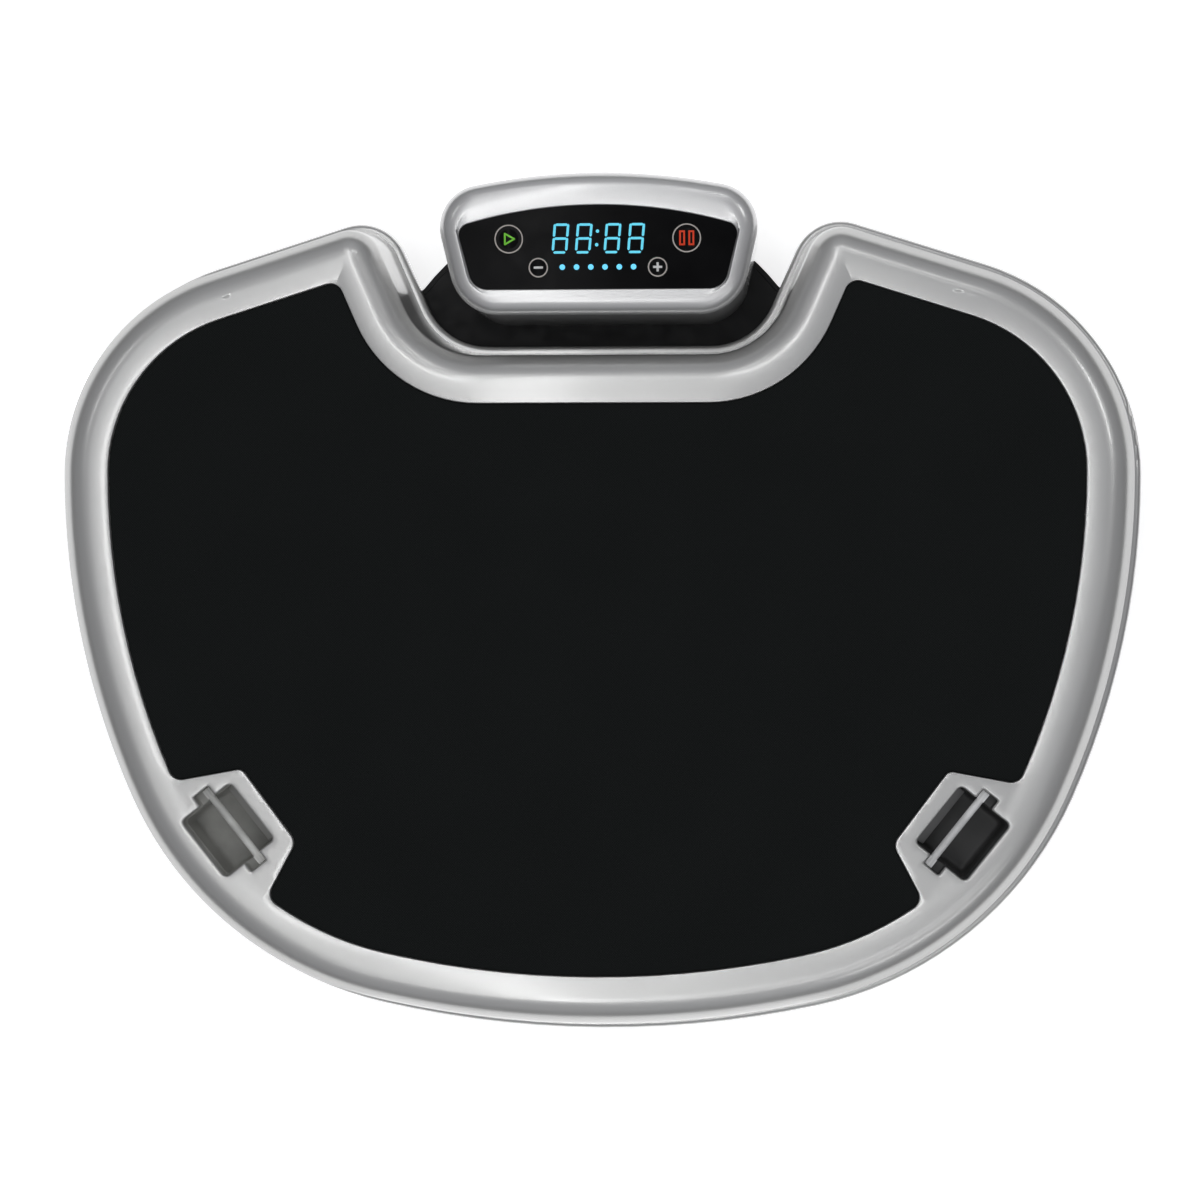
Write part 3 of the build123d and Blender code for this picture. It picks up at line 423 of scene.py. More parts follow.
def rim_height(points, inset):
    """Height of the top surface at an inset from the deck's outline."""
    fall = np.clip((inset - CREST) / (RIM_END - CREST), 0, 1) ** 2
    weight = land_weight(points)
    return CREST_TOP - fall * (RIM_FALL * (1 - weight) + LAND_FALL * weight)


def pocket_corners(margin):
    """A strap pocket's corners in its own axes: the main recess and a notch at each end."""
    near, far = POCKET_Y[0] - margin, POCKET_Y[1] + margin
    low, high = LEDGE_Y[0] - margin, LEDGE_Y[1] + margin
    body, reach = POCKET_X + margin, LEDGE_X + margin
    return [
        (body, near), (body, low), (reach, low), (reach, high), (body, high), (body, far),
        (-body, far), (-body, high), (-reach, high), (-reach, low), (-body, low), (-body, near),
    ]


def pocket_loop(side, margin):
    """A strap pocket's opening on the deck, grown by margin."""
    out, small, tip = 3.0 + margin, 1.4, 1.2 + margin * 0.4
    radii = [out, small, tip, tip, small, out]
    return turned(rounded(pocket_corners(margin), radii * 2), side)


def roof_rows(profile):
    """Rings round the deck from a profile of (inset, height) pairs."""
    return [at_level(deck_loop(inset), height) for inset, height in profile]


def outer_profile():
    """The shell's outside, from its bottom edge up the drafted wall and over the roll.

    The roll is a quarter ellipse from where the wall is tangent to it up to the crest.
    """
    draft = radians(DRAFT)
    first = atan2(ROLL_RISE * sin(draft), ROLL_ACROSS * cos(draft))
    wall_top = CREST_TOP - ROLL_RISE * (1 - sin(first))
    rows = [(SKIRT_STEP + 0.5, SHELL_BOTTOM), (SKIRT_STEP + 0.1, SHELL_BOTTOM + 0.5)]
    for step in range(1, 6):
        height = SHELL_BOTTOM + (wall_top - SHELL_BOTTOM) * step / 5
        rows.append((SKIRT_STEP + (height - SHELL_BOTTOM) * tan(draft), height))
    start = rows[-1][0]
    stretch = (CREST - start) / cos(first)
    for step in range(1, 19):
        angle = first + (pi / 2 - first) * step / 18
        rows.append((CREST - stretch * cos(angle), CREST_TOP - ROLL_RISE * (1 - sin(angle))))
    return rows


def inner_profile():
    """The shell's inside, from its bottom edge up to the ceiling."""
    draft = radians(DRAFT)
    rows = [(SKIRT_STEP + 0.5, SHELL_BOTTOM)]
    for step in range(4):
        height = SHELL_BOTTOM + (SHELL_CEILING - 14.0 - SHELL_BOTTOM) * step / 3
        rows.append((SKIRT_STEP + WALL + (height - SHELL_BOTTOM) * tan(draft), height))
    rows += [(13.0, SHELL_CEILING - 6.0), (17.0, SHELL_CEILING - 1.6)]
    rows.append((CEILING_INSET, SHELL_CEILING))
    return rows


def hex_points(low, high, pitch):
    """A triangular grid of points between two corners."""
    rows = []
    row_pitch = pitch * sqrt(3) / 2
    for row in range(int((high[1] - low[1]) / row_pitch)):
        shift = pitch / 2 if row % 2 else 0.0
        xs = np.arange(low[0] + shift, high[0], pitch)
        rows.append(np.stack([xs, np.full(len(xs), low[1] + row * row_pitch)], axis=1))
    return np.concatenate(rows)


def rim_points(rim_edge, pockets):
    """Points that carry the rim's and the lands' shape between its edges."""
    points = [deck_loop(inset) for inset in np.arange(CREST + 1.5, RIM_END - 1.1, 1.6)]
    for side in (1, -1):
        land = hex_points((175.0, -235.0), (300.0, -90.0), 3.0) * (side, 1)
        on_rim = inside(land, deck_loop(RIM_END + 0.5)) & ~inside(land, grown(rim_edge, 1.0))
        points.append(land[on_rim])
    points = np.concatenate(points)
    for pocket in pockets:
        points = points[~inside(points, grown(pocket, 1.2))]
    return points


def make_shell():
    """The silver shell: drafted wall, rolled crest, dished rim and the lands' raised tops."""
    vertices, faces = [], []
    add_rings(vertices, faces, roof_rows(outer_profile()))
    add_rings(vertices, faces, roof_rows(inner_profile()))
    mat_edge = spaced(grown(flat_loop("deck_mat"), MAT_GAP), 3.0)
    rim_edge = grown(mat_edge, EDGE_ROUND)
    crest = deck_loop(CREST)
    pockets = [pocket_loop(side, POCKET_MOUTH) for side in (1, -1)]
    extra = rim_points(rim_edge, pockets)

    def top_height(points):
        return rim_height(points, inset_of(points, crest))

    add_patch(vertices, faces, crest, [rim_edge] + pockets, top_height, extra)
    edge_level = top_height(rim_edge)
    add_rings(vertices, faces, [
        at_level(rim_edge, edge_level),
        at_level(grown(mat_edge, EDGE_ROUND * 0.4), edge_level - 0.1),
        at_level(grown(mat_edge, EDGE_ROUND * 0.08), edge_level - 0.4),
        at_level(mat_edge, edge_level - 0.9),
        at_level(mat_edge, MAT_FLOOR),
    ])
    wells = [pocket_loop(side, POCKET_WELL) for side in (1, -1)]
    for side, pocket, well in zip((1, -1), pockets, wells):
        level = top_height(pocket)
        rows = [at_level(pocket, level)]
        for margin, drop in POCKET_LIP:
            rows.append(at_level(pocket_loop(side, margin), level - drop))
        rows.append(at_level(well, SHELL_CEILING))
        add_rings(vertices, faces, rows)
    add_patch(vertices, faces, mat_edge, [], lambda points: MAT_FLOOR)
    add_patch(vertices, faces, deck_loop(CEILING_INSET), wells, lambda points: SHELL_CEILING)
    return make_object("deck_cover", vertices, faces)


def inset_of(points, crest):
    """How far points lie from the deck's outline, measured from the crest loop."""
    out = np.empty(len(points))
    start, ahead = crest, np.roll(crest, -1, axis=0)
    along = ahead - start
    length = (along ** 2).sum(axis=1)
    for index in range(0, len(points), 500):
        p = points[index:index + 500][:, None]
        t = np.clip(((p - start[None]) * along[None]).sum(axis=2) / length[None], 0, 1)
        near = start[None] + along[None] * t[:, :, None]
        out[index:index + 500] = np.sqrt(((p - near) ** 2).sum(axis=2).min(axis=1))
    return CREST + out


# ---------------------------------------------------------------- strap cups

def cup_row(margin, level, waist=LEDGE_X, centre_pull=0.0):
    """One ring of a strap cup in its own axes: margin outward, ledges cut off at waist."""
    out, small, tip = 3.0, 1.2, 1.4
    points = rounded(pocket_corners(margin), [out, small, tip, tip, small, out] * 2)
    points[:, 0] = np.clip(points[:, 0], -waist - margin, waist + margin)
    middle = np.array([0.0, (POCKET_Y[0] + POCKET_Y[1]) / 2])
    points = middle + (points - middle) * (1 - centre_pull)
    points[:, 1] -= np.clip(points[:, 1] - LEDGE_Y[1], 0, None) * (LAND_LEVEL - level) / 120
    return points, level


def cup_profile():
    """A strap cup's inner surface, from under the land's lip down to its floor."""
    top, ledge = LAND_LEVEL - 1.7, LAND_LEVEL - LEDGE_DEPTH
    floor = LAND_LEVEL - POCKET_DEPTH
    rows = [
        cup_row(0.5, top),
        cup_row(0.5, ledge + 1.5),
        cup_row(0.2, ledge + 0.5),
        cup_row(-0.5, ledge),
        cup_row(-0.5, ledge, POCKET_X + 1.6),
        cup_row(-0.5, ledge - 0.4, POCKET_X + 0.7),
        cup_row(-0.5, ledge - 1.4, POCKET_X + 0.4),
        cup_row(-1.2, floor + 6.0, POCKET_X + 0.4),
    ]
    for pull, lift in ((0.01, 3.0), (0.04, 1.2), (0.1, 0.3), (0.18, 0.0), (0.5, 0.0), (0.85, 0.0)):
        rows.append(cup_row(-1.4, floor + lift, POCKET_X + 0.4, pull))
    return rows


def make_cup(side, name):
    """A strap cup: a drafted, round-cornered recess with a ledge at each end for the bar."""
    vertices, faces = [], []
    rows = [at_level(turned(points, side), level) for points, level in cup_profile()]
    add_rings(vertices, faces, rows)
    add_cap(vertices, faces, rows[-1])
    cup = make_object(name, vertices, faces)
    wall = cup.modifiers.new("wall", "SOLIDIFY")
    wall.thickness = 1.9 * MM
    wall.offset = 1.0 if outward_normals(cup) else -1.0
    return cup


def make_slope(side, name):
    """The silver lead-in down a strap pocket's side nearest the mat, a thin sloping plate."""
    high, low = LAND_LEVEL - 1.3, LAND_LEVEL - SLOPE_DROP
    top_v, bottom_v = POCKET_Y[1] + 0.4, POCKET_Y[1] - SLOPE_REACH
    sections = [
        (top_v, high),
        (bottom_v, low),
        (bottom_v + 0.9, low - 1.1),
        (top_v + 0.9, low - 1.1),
        (top_v + 0.9, high),
    ]
    rows = []
    for u in (-SLOPE_HALF, -SLOPE_HALF + 0.6, SLOPE_HALF - 0.6, SLOPE_HALF):
        shrink = 0.3 if abs(u) == SLOPE_HALF else 0.0
        flat = turned(np.array([(u, v + shrink) for v, _ in sections]), 1) * (side, 1)
        rows.append([(x, y, z - shrink) for (x, y), (_, z) in zip(flat, sections)])
    vertices, faces = [], []
    add_rings(vertices, faces, rows)
    add_cap(vertices, faces, rows[0])
    add_cap(vertices, faces, rows[-1], under=True)
    return make_object(name, vertices, faces, smooth=False)


def outward_normals(cup):
    """Whether a bowl's floor faces away from its hollow, so a wall grows along its normals."""
    lowest = min(cup.data.polygons, key=lambda polygon: polygon.center.z)
    return lowest.normal.z < 0


# ---------------------------------------------------------------- console

def on_console(points, level=0.0):
    """Points in the console's own plane, at levels above its top, as 3-D millimetres."""
    levels = np.broadcast_to(level, len(points))
    up = Vector((0.0, -sin(CONSOLE_TILT), cos(CONSOLE_TILT)))
    away = Vector((0.0, cos(CONSOLE_TILT), sin(CONSOLE_TILT)))
    across = Vector((1.0, 0.0, 0.0))
    return [
        tuple(CONSOLE_ORIGIN + across * float(p[0]) + away * float(p[1]) + up * float(z))
        for p, z in zip(points, levels)
    ]


def make_bezel():
    """The silver console bezel: a rolled frame, gently crowned in to the black window."""
    vertices, faces = [], []
    rows = [on_console(arched_loop(*POD, inset=0.4), -BEZEL_THICKNESS)]
    rows.append(on_console(arched_loop(*POD), -BEZEL_THICKNESS + 0.4))
    for step in range(15):
        angle = pi / 2 * step / 14
        inset = BEZEL_CROWN * (1 - cos(angle))
        rows.append(on_console(arched_loop(*POD, inset=inset), BEZEL_ROLL * (sin(angle) - 1)))
    outer = arched_loop(*POD, inset=BEZEL_CROWN)
    window = arched_loop(*WINDOW)
    rim = grown(window, 0.9)
    for step in range(1, 7):
        share = step / 6
        rows.append(on_console(outer + (rim - outer) * share, -BEZEL_FALL * share * share))
    for growth, drop in ((0.4, 0.1), (0.1, 0.4), (0.0, 0.9)):
        rows.append(on_console(grown(window, growth), -BEZEL_FALL - drop))
    rows.append(on_console(window, PANEL_FLOOR))
    rows.append(on_console(grown(window, -2.5), PANEL_FLOOR))
    rows.append(on_console(grown(window, -2.5), -BEZEL_THICKNESS))
    rows.append(rows[0])
    add_rings(vertices, faces, rows)
    return make_object("console_frame", vertices, faces)


def dished(points, key):
    """Levels on a key's dished top, a hair above it, for points in the console's plane."""
    key_x, key_y, key_radius = KEYS[key]
    sphere = 4 * key_radius
    out = np.hypot(points[:, 0] - key_x, points[:, 1] - key_y)
    return KEY_TOP - KEY_DISH + sphere - np.sqrt(sphere ** 2 - out ** 2) + INK


def circle(centre, radius, count=96):
    """A closed loop of points round a centre."""
    angles = np.arange(count) * 2 * pi / count
    return np.array(centre) + np.stack([np.cos(angles), np.sin(angles)], axis=1) * radius


def ink_outline(vertices, faces, outer, inner, key):
    """A raised band of ink between two loops on a key's dished top."""
    bands = (
        (outer, -INK),
        (outer * 0.97 + inner * 0.03, 0.0),
        (inner * 0.97 + outer * 0.03, 0.0),
        (inner, -INK),
    )
    rows = [on_console(loop, dished(loop, key) + lift) for loop, lift in bands]
    rows.append(rows[0])
    add_rings(vertices, faces, rows)


def ink_fill(vertices, faces, loop, level, thickness=INK):
    """A thin solid plate of ink filling a convex loop."""
    top, bottom = on_console(loop, level), on_console(loop, level - thickness)
    add_rings(vertices, faces, [bottom, top])
    add_cap(vertices, faces, top)
    add_cap(vertices, faces, bottom, under=True)


def make_key_ring(key):
    """The light ring printed near a key's edge."""
    x, y, radius = KEYS[key]
    vertices, faces = [], []
    outer, inner = [circle((x, y), radius - inset) for inset in RING_INSET]
    ink_outline(vertices, faces, outer, inner, key)
    return make_object(f"{key}_ring", vertices, faces)


def make_key_mark(key):
    """The mark in the middle of a key: triangle, two bars, minus or plus."""
    x, y, _ = KEYS[key]
    vertices, faces = [], []
    bar = rounded([(-1.8, -4.5), (1.8, -4.5), (1.8, 4.5), (-1.8, 4.5)], 0.3, 3)
    shapes = {
        "play": [rounded([(-3.0, -4.2), (4.4, 0.0), (-3.0, 4.2)], 0.5, 3)],
        "pause": [bar + (aside, 0.0) for aside in (-2.8, 2.8)],
    }
    if key in shapes:
        for shape in shapes[key]:
            loop = shape + (x, y)
            ink_outline(vertices, faces, loop, grown(loop, -1.1), key)
        return make_object(f"{key}_mark", vertices, faces)
    arm = 2.85 if key == "minus" else 3.25
    half = 0.7
    corners = [(arm, -half), (arm, half), (-arm, half), (-arm, -half)]
    if key == "plus":
        corners = [
            (half, -arm), (half, -half), (arm, -half), (arm, half), (half, half), (half, arm),
            (-half, arm), (-half, half), (-arm, half), (-arm, -half), (-half, -half), (-half, -arm),
        ]
    loop = rounded(corners, 0.12, 2) + (x, y)
    level = KEY_TOP - KEY_DISH + INK + 0.03
    ink_fill(vertices, faces, loop, level + 0.1, 0.16)
    return make_object(f"{key}_mark", vertices, faces)


def make_digits():
    """Four slanted seven-segment digits, all segments lit, and the colon."""
    width, height, stroke, slant = 9.6, 18.3, 1.5, tan(radians(5.3))
    base_y, gap = -5.1, 0.22
    level = -PANEL_SINK + INK
    vertices, faces = [], []
    half, mid = stroke / 2, height / 2
    flat_bar = [(half + gap, 0), (stroke + gap, -half), (width - stroke - gap, -half),
                (width - half - gap, 0), (width - stroke - gap, half), (stroke + gap, half)]
    tall = mid - stroke / 2
    tall_bar = [(0, half + gap), (half, stroke + gap), (half, tall - half - gap + half),
                (0, tall - gap + half), (-half, tall - gap), (-half, stroke + gap)]
    for left in DIGIT_LEFTS:
        parts = [[(px, py + row) for px, py in flat_bar] for row in (half, mid, height - half)]
        for column in (half, width - half):
            for row in (half, mid):
                parts.append([(px + column, py + row) for px, py in tall_bar])
        for part in parts:
            loop = np.array([(left + px + py * slant, base_y + py) for px, py in part])
            ink_fill(vertices, faces, loop, level)
    for dot in COLON_DOTS:
        ink_fill(vertices, faces, circle(dot, 1.05, 24), level)
    return make_object("time_digits", vertices, faces, smooth=False)


def make_lamp_dots():
    """Six small round lamp lenses, slightly domed."""
    pitch, radius, y = 8.7, 1.75, -13.3
    vertices, faces = [], []
    for index in range(6):
        x = (index - 2.5) * pitch
        rows = []
        for share, lift in ((1.0, -0.1), (0.98, 0.04), (0.8, 0.12), (0.5, 0.18), (0.05, 0.2)):
            loop = circle((x, y), radius * share, 32)
            rows.append(on_console(loop, -PANEL_SINK + lift))
        add_rings(vertices, faces, rows)
        add_cap(vertices, faces, rows[-1])
        add_cap(vertices, faces, rows[0], under=True)
    return make_object("lamp_lenses", vertices, faces)


# ---------------------------------------------------------------- materials

class Surface:
    """A procedural material under construction, worked in each body's own coordinates."""

    def __init__(self, name, color, roughness, metallic=0.0, **sockets):
        self.material = bpy.data.materials.new(name)
        self.material.use_nodes = True
        self.tree = self.material.node_tree
        self.shader = self.tree.nodes["Principled BSDF"]
        self.shader.inputs["Base Color"].default_value = (*color, 1.0)
        self.shader.inputs["Roughness"].default_value = roughness
        self.shader.inputs["Metallic"].default_value = metallic
        for socket, value in sockets.items():
            self.shader.inputs[socket.replace("_", " ")].default_value = value
        self.place = self.tree.nodes.new("ShaderNodeTexCoord").outputs["Object"]
        self.normal = None

    def node(self, kind, **settings):
        made = self.tree.nodes.new(kind)
        for key, value in settings.items():
            setattr(made, key, value)
        return made

    def link(self, source, target):
        self.tree.links.new(source, target)

    def noise(self, pitch, detail=3.0, stretch=(1, 1, 1)):
        """Noise whose blobs are about pitch millimetres across."""
        spread = self.node("ShaderNodeMapping")
        self.link(self.place, spread.inputs["Vector"])
        spread.inputs["Scale"].default_value = stretch
        noise = self.node("ShaderNodeTexNoise")
        noise.inputs["Scale"].default_value = 1.0 / (pitch * MM)
        noise.inputs["Detail"].default_value = detail
        self.link(spread.outputs["Vector"], noise.inputs["Vector"])
        return noise.outputs["Fac"]

    def waves(self, pitch, axis):
        """Straight ridges pitch millimetres apart along X, Y or Z."""
        wave = self.node("ShaderNodeTexWave", wave_type="BANDS", bands_direction=axis)
        wave.wave_profile = "SIN"
        wave.inputs["Scale"].default_value = 2 * pi / (20 * pitch * MM)
        self.link(self.place, wave.inputs["Vector"])
        return wave.outputs["Fac"]

    def span(self, axis, low, high):
        """0 within low millimetres of the body's origin along an axis, and 1 beyond high."""
        split = self.node("ShaderNodeSeparateXYZ")
        self.link(self.place, split.inputs["Vector"])
        distance = self.math("ABSOLUTE", split.outputs[axis], 0.0)
        spread = self.node("ShaderNodeMapRange", interpolation_type="SMOOTHSTEP")
        self.link(distance, spread.inputs["Value"])
        spread.inputs["From Min"].default_value = low * MM
        spread.inputs["From Max"].default_value = high * MM
        return spread.outputs["Result"]

    def math(self, operation, first, second):
        made = self.node("ShaderNodeMath", operation=operation)
        for socket, value in zip(made.inputs, (first, second)):
            if isinstance(value, (int, float)):
                socket.default_value = value
            else:
                self.link(value, socket)
        return made.outputs["Value"]

    def ramp(self, factor, stops):
        """Colours blended by factor; stops are (position, colour)."""
        ramp = self.node("ShaderNodeValToRGB")
        elements = ramp.color_ramp.elements
        while len(elements) < len(stops):
            elements.new(0.5)
        for element, (position, color) in zip(elements, stops):
            element.position = position
            element.color = (*color, 1.0)
        self.link(factor, ramp.inputs["Fac"])
        return ramp.outputs["Color"]

    def tint(self, factor, low, high, start=0.3, end=0.7):
        """Base colour varying between two colours."""
        self.link(self.ramp(factor, [(start, low), (end, high)]), self.shader.inputs["Base Color"])

    def shine(self, factor, low, high):
        """Roughness varying between two values."""
        spread = self.node("ShaderNodeMapRange")
        self.link(factor, spread.inputs["Value"])
        spread.inputs["From Min"].default_value = 0.3
        spread.inputs["From Max"].default_value = 0.7
        spread.inputs["To Min"].default_value = low
        spread.inputs["To Max"].default_value = high
        self.link(spread.outputs["Result"], self.shader.inputs["Roughness"])

    def bump(self, height, depth):
        """Relief of depth millimetres, on top of any bump already there."""
        made = self.node("ShaderNodeBump")
        made.inputs["Strength"].default_value = 1.0
        made.inputs["Distance"].default_value = depth * MM
        self.link(height, made.inputs["Height"])
        if self.normal:
            self.link(self.normal, made.inputs["Normal"])
        self.normal = made.outputs["Normal"]
        self.link(self.normal, self.shader.inputs["Normal"])


def shade(color, factor):
    """A colour made lighter or darker."""
    return tuple(min(1.0, channel * factor) for channel in color)


def clear_coated(name, color, roughness):
    """Metallic paint under a clear coat, with a slightly uneven gloss."""
    surface = Surface(name, color, roughness, metallic=0.7, Coat_Weight=1.0, Coat_Roughness=0.1)
    surface.shine(surface.noise(60.0, 1.0), roughness - 0.01, roughness + 0.02)
    return surface


def silver_paint(name, color, roughness):
    """Clear-coated silver paint with fine flake."""
    surface = clear_coated(name, color, roughness)
    surface.tint(surface.noise(0.5, 1.0), shade(color, 0.98), shade(color, 1.02))
    return surface


def shell_paint(name, color, roughness):
    """Silver paint with painted shade: darker and satin down the deck's steep wall along its two
    sides.
    """
    surface = clear_coated(name, color, roughness)
    near_top = surface.span("Z", *WALL_SHADE)
    sideways = surface.span("X", *SIDE_SHADE)
    middle = surface.math("SUBTRACT", 1.0, sideways)
    unshaded_mask = surface.math("MAXIMUM", near_top, middle)
    surface.link(unshaded_mask, surface.shader.inputs["Coat Weight"])
    flake = surface.math("ADD", surface.math("MULTIPLY", surface.noise(0.5, 1.0), 0.06), 0.97)
    # painted shade: the base colour is darkened down the steep side walls wherever the mask falls
    # off
    depth = surface.math("ADD", surface.math("MULTIPLY", unshaded_mask, 1 - PAINTED_SHADE_TONE), PAINTED_SHADE_TONE)
    flake_and_shade = surface.math("MULTIPLY", flake, depth)
    surface.tint(flake_and_shade, (0, 0, 0), color, 0.0, 1.0)
    return surface


def moulded_plastic(name, color, roughness, grain=0.8, depth=0.03):
    """Plastic from a spark-eroded mould: fine grain, slightly uneven shine."""
    surface = Surface(name, color, roughness, Specular_IOR_Level=0.25)
    surface.tint(surface.noise(18.0), shade(color, 0.85), shade(color, 1.15))
    surface.shine(surface.noise(9.0), roughness - 0.06, roughness + 0.08)
    surface.bump(surface.noise(grain, 2.0), depth)
    return surface


def gloss_panel(name, color):
    """Gloss black acrylic with the faintest unevenness."""
    surface = Surface(name, color, 0.14, Specular_IOR_Level=0.03)
    surface.tint(surface.noise(30.0), shade(color, 0.8), shade(color, 1.2))
    surface.shine(surface.noise(14.0), 0.11, 0.18)
    surface.bump(surface.noise(22.0, 1.0), 0.01)
    return surface


def mat_rubber(name, color):
    """Black anti-slip mat: a fine over-and-under weave of ribs pressed into rubber."""
    surface = Surface(name, color, 0.62, Specular_IOR_Level=0.05)
    across = surface.waves(WEAVE_PITCH, "X")
    along = surface.waves(WEAVE_PITCH, "Y")
    crossing = surface.math("MULTIPLY", across, along)
    relief = surface.math("SUBTRACT", surface.math("MAXIMUM", across, along), crossing)
    wear = surface.math("MULTIPLY", surface.noise(60.0), 0.4)
    surface.tint(surface.math("ADD", surface.math("MULTIPLY", relief, 0.6), wear),
                 shade(color, 0.8), shade(color, 1.2))
    surface.shine(surface.noise(30.0), 0.56, 0.7)
    surface.bump(relief, 0.12)
    surface.bump(surface.noise(0.5, 2.0), 0.03)
    return surface


def soft_rubber(name, color):
    """Moulded rubber with a dusty bloom."""
    surface = Surface(name, color, 0.75, Specular_IOR_Level=0.3)
    surface.tint(surface.noise(12.0), shade(color, 0.7), shade(color, 1.6))
    surface.shine(surface.noise(5.0), 0.66, 0.85)
    surface.bump(surface.noise(1.2), 0.05)
    return surface


def turned_metal(name, color, roughness, stretch=(1, 1, 1)):
    """Machined or plated metal: fine tool marks and slight staining."""
    surface = Surface(name, color, roughness, metallic=1.0)
    surface.tint(surface.noise(5.0), shade(color, 0.82), shade(color, 1.1))
    surface.shine(surface.noise(1.4, 2.0, stretch), roughness - 0.08, roughness + 0.12)
    surface.bump(surface.noise(0.5, 2.0, stretch), 0.01)
    return surface


def painted_metal(name, color, roughness=0.42, depth=0.05):
    """Powder coat or brushed-on paint over steel: orange peel and a little dust."""
    surface = Surface(name, color, roughness)
    surface.tint(surface.noise(25.0), shade(color, 0.8), shade(color, 1.35))
    surface.shine(surface.noise(8.0), roughness - 0.06, roughness + 0.1)
    surface.bump(surface.noise(1.4, 1.0), depth)
    return surface


def cast_alloy(name, color):
    """As-cast aluminium: a pebbled skin, lighter on its high spots."""
    surface = Surface(name, color, 0.45, metallic=0.9)
    grain = surface.noise(1.6, 4.0)
    surface.tint(grain, shade(color, 0.75), shade(color, 1.1))
    surface.shine(grain, 0.36, 0.56)
    surface.bump(grain, 0.12)
    return surface


def winding(name, color):
    """Lacquered copper turns lying side by side round the stator and the rotor."""
    surface = Surface(name, color, 0.32, metallic=0.85)
    turns = surface.waves(1.1, "X")
    surface.tint(turns, shade(color, 0.55), shade(color, 1.2), 0.1, 0.9)
    surface.shine(surface.noise(3.0), 0.26, 0.42)
    surface.bump(turns, 0.2)
    return surface


def circuit_board(name, color):
    """Green solder mask, with copper tracks showing as lighter, raised lines."""
    surface = Surface(name, color, 0.3)
    tracks = surface.math("MULTIPLY", surface.waves(7.0, "X"), surface.waves(5.0, "Y"))
    surface.tint(tracks, shade(color, 0.8), shade(color, 1.9), 0.45, 0.55)
    surface.shine(surface.noise(6.0), 0.25, 0.38)
    surface.bump(tracks, 0.05)
    return surface


def lit(name, color, strength):
    """A lit segment or lamp that glows evenly through its thin film; given to a printed mark, the
    glow is painted light.
    """
    surface = Surface(name, color, 0.35)
    surface.tint(surface.noise(1.2), shade(color, 0.85), shade(color, 1.1))
    surface.bump(surface.noise(0.6), 0.004)
    surface.shader.inputs["Emission Color"].default_value = (*color, 1.0)
    surface.shader.inputs["Emission Strength"].default_value = strength
    return surface


def slot_colors():
    """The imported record's base colour for each material slot."""
    return {row["slot"]: tuple(row["base_color"]) for row in record["materials"]}


# For each slot: how it is painted, how much lighter or darker than the record's colour, and
# the rest of what that material takes.
FINISHES = {
    "silver_shell": (shell_paint, 1.0, 0.31),
    "silver_console": (silver_paint, 1.2, 0.31),
    "grey_housing": (silver_paint, 2.4, 0.4),
    "black_plastic": (moulded_plastic, 0.22, 0.5),
    "mat_rubber": (mat_rubber, 0.8),
    "black_glass": (gloss_panel, 0.5),
    "key_cap": (gloss_panel, 0.5),
    # The two strap cups are one moulding in two tones: the right cup's dark charcoal is painted
    # shade and the left cup's light grey is painted light.
    "cup_light": (moulded_plastic, 1.0, 0.42, 0.6, 0.015),
    "cup_dark": (moulded_plastic, 1.0, 0.38, 0.6, 0.015),
    "bar_light": (painted_metal, 1.0, 0.35, 0.01),
    "bar_steel": (painted_metal, 1.0, 0.3, 0.004),
    "frame_steel": (painted_metal, 1.0),
    "motor_steel": (painted_metal, 1.0, 0.38),
    "cast_alloy": (cast_alloy, 1.0),
    "bright_steel": (turned_metal, 1.0, 0.28, (1, 6, 6)),
    "zinc_screw": (turned_metal, 1.0, 0.34),
    "black_screw": (painted_metal, 1.0, 0.4, 0.01),
    "copper_winding": (winding, 1.0),
    "black_rubber": (soft_rubber, 1.0),
    "circuit_board": (circuit_board, 1.0),
    "component_body": (moulded_plastic, 1.0, 0.45, 0.5, 0.02),
    "lead_sheath": (moulded_plastic, 1.0, 0.55, 1.5, 0.03),
}


def make_materials():
    """One material for each material slot of the record."""
    color = slot_colors()
    surfaces = {
        "display_face": lit("display_face", (0.09, 0.52, 0.68), 0.75),
        "lamp_blue": lit("lamp_blue", (0.12, 0.55, 0.80), 0.85),
    }
    for slot, (paint, factor, *rest) in FINISHES.items():
        surfaces[slot] = paint(slot, shade(color[slot], factor), *rest)
    return {slot: surface.material for slot, surface in surfaces.items()}


def dress(thing, material):
    """Gives an object one material."""
    thing.data.materials.clear()
    thing.data.materials.append(material)


def dress_frame(materials):
    """Every CAD node takes the material of its slot."""
    for row in record["subparts"]:
        dress(nodes[row["node"]], materials[row["material_slot"]])
    silver = slot_colors()["silver_shell"]
    dress(nodes["deck_skirt"], silver_paint("silver_lip", silver, 0.3).material)


# ---------------------------------------------------------------- the visual pieces

def add_piece(piece, body, material, replaced=()):
    """Puts a piece on its body, its material and the nodes it stands for."""
    dress(piece, material)
    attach(piece, body)
    if replaced:
        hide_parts(*replaced)


def stretch_isolators(materials):
    """Rubber isolators: copies of their CAD nodes in their slot's material, standing in for the
    hidden nodes.
    """
    for row in record["subparts"]:
        node = row["node"]
        if not node.startswith("isolator_") or node in ("isolator_studs", "isolator_bolts"):
            continue
        rubber = add_object(f"rubber_{node}", nodes[node].data.copy())
        rubber.matrix_world = nodes[node].matrix_world
        dress(rubber, materials[row["material_slot"]])
        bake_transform(rubber)
        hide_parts(node)


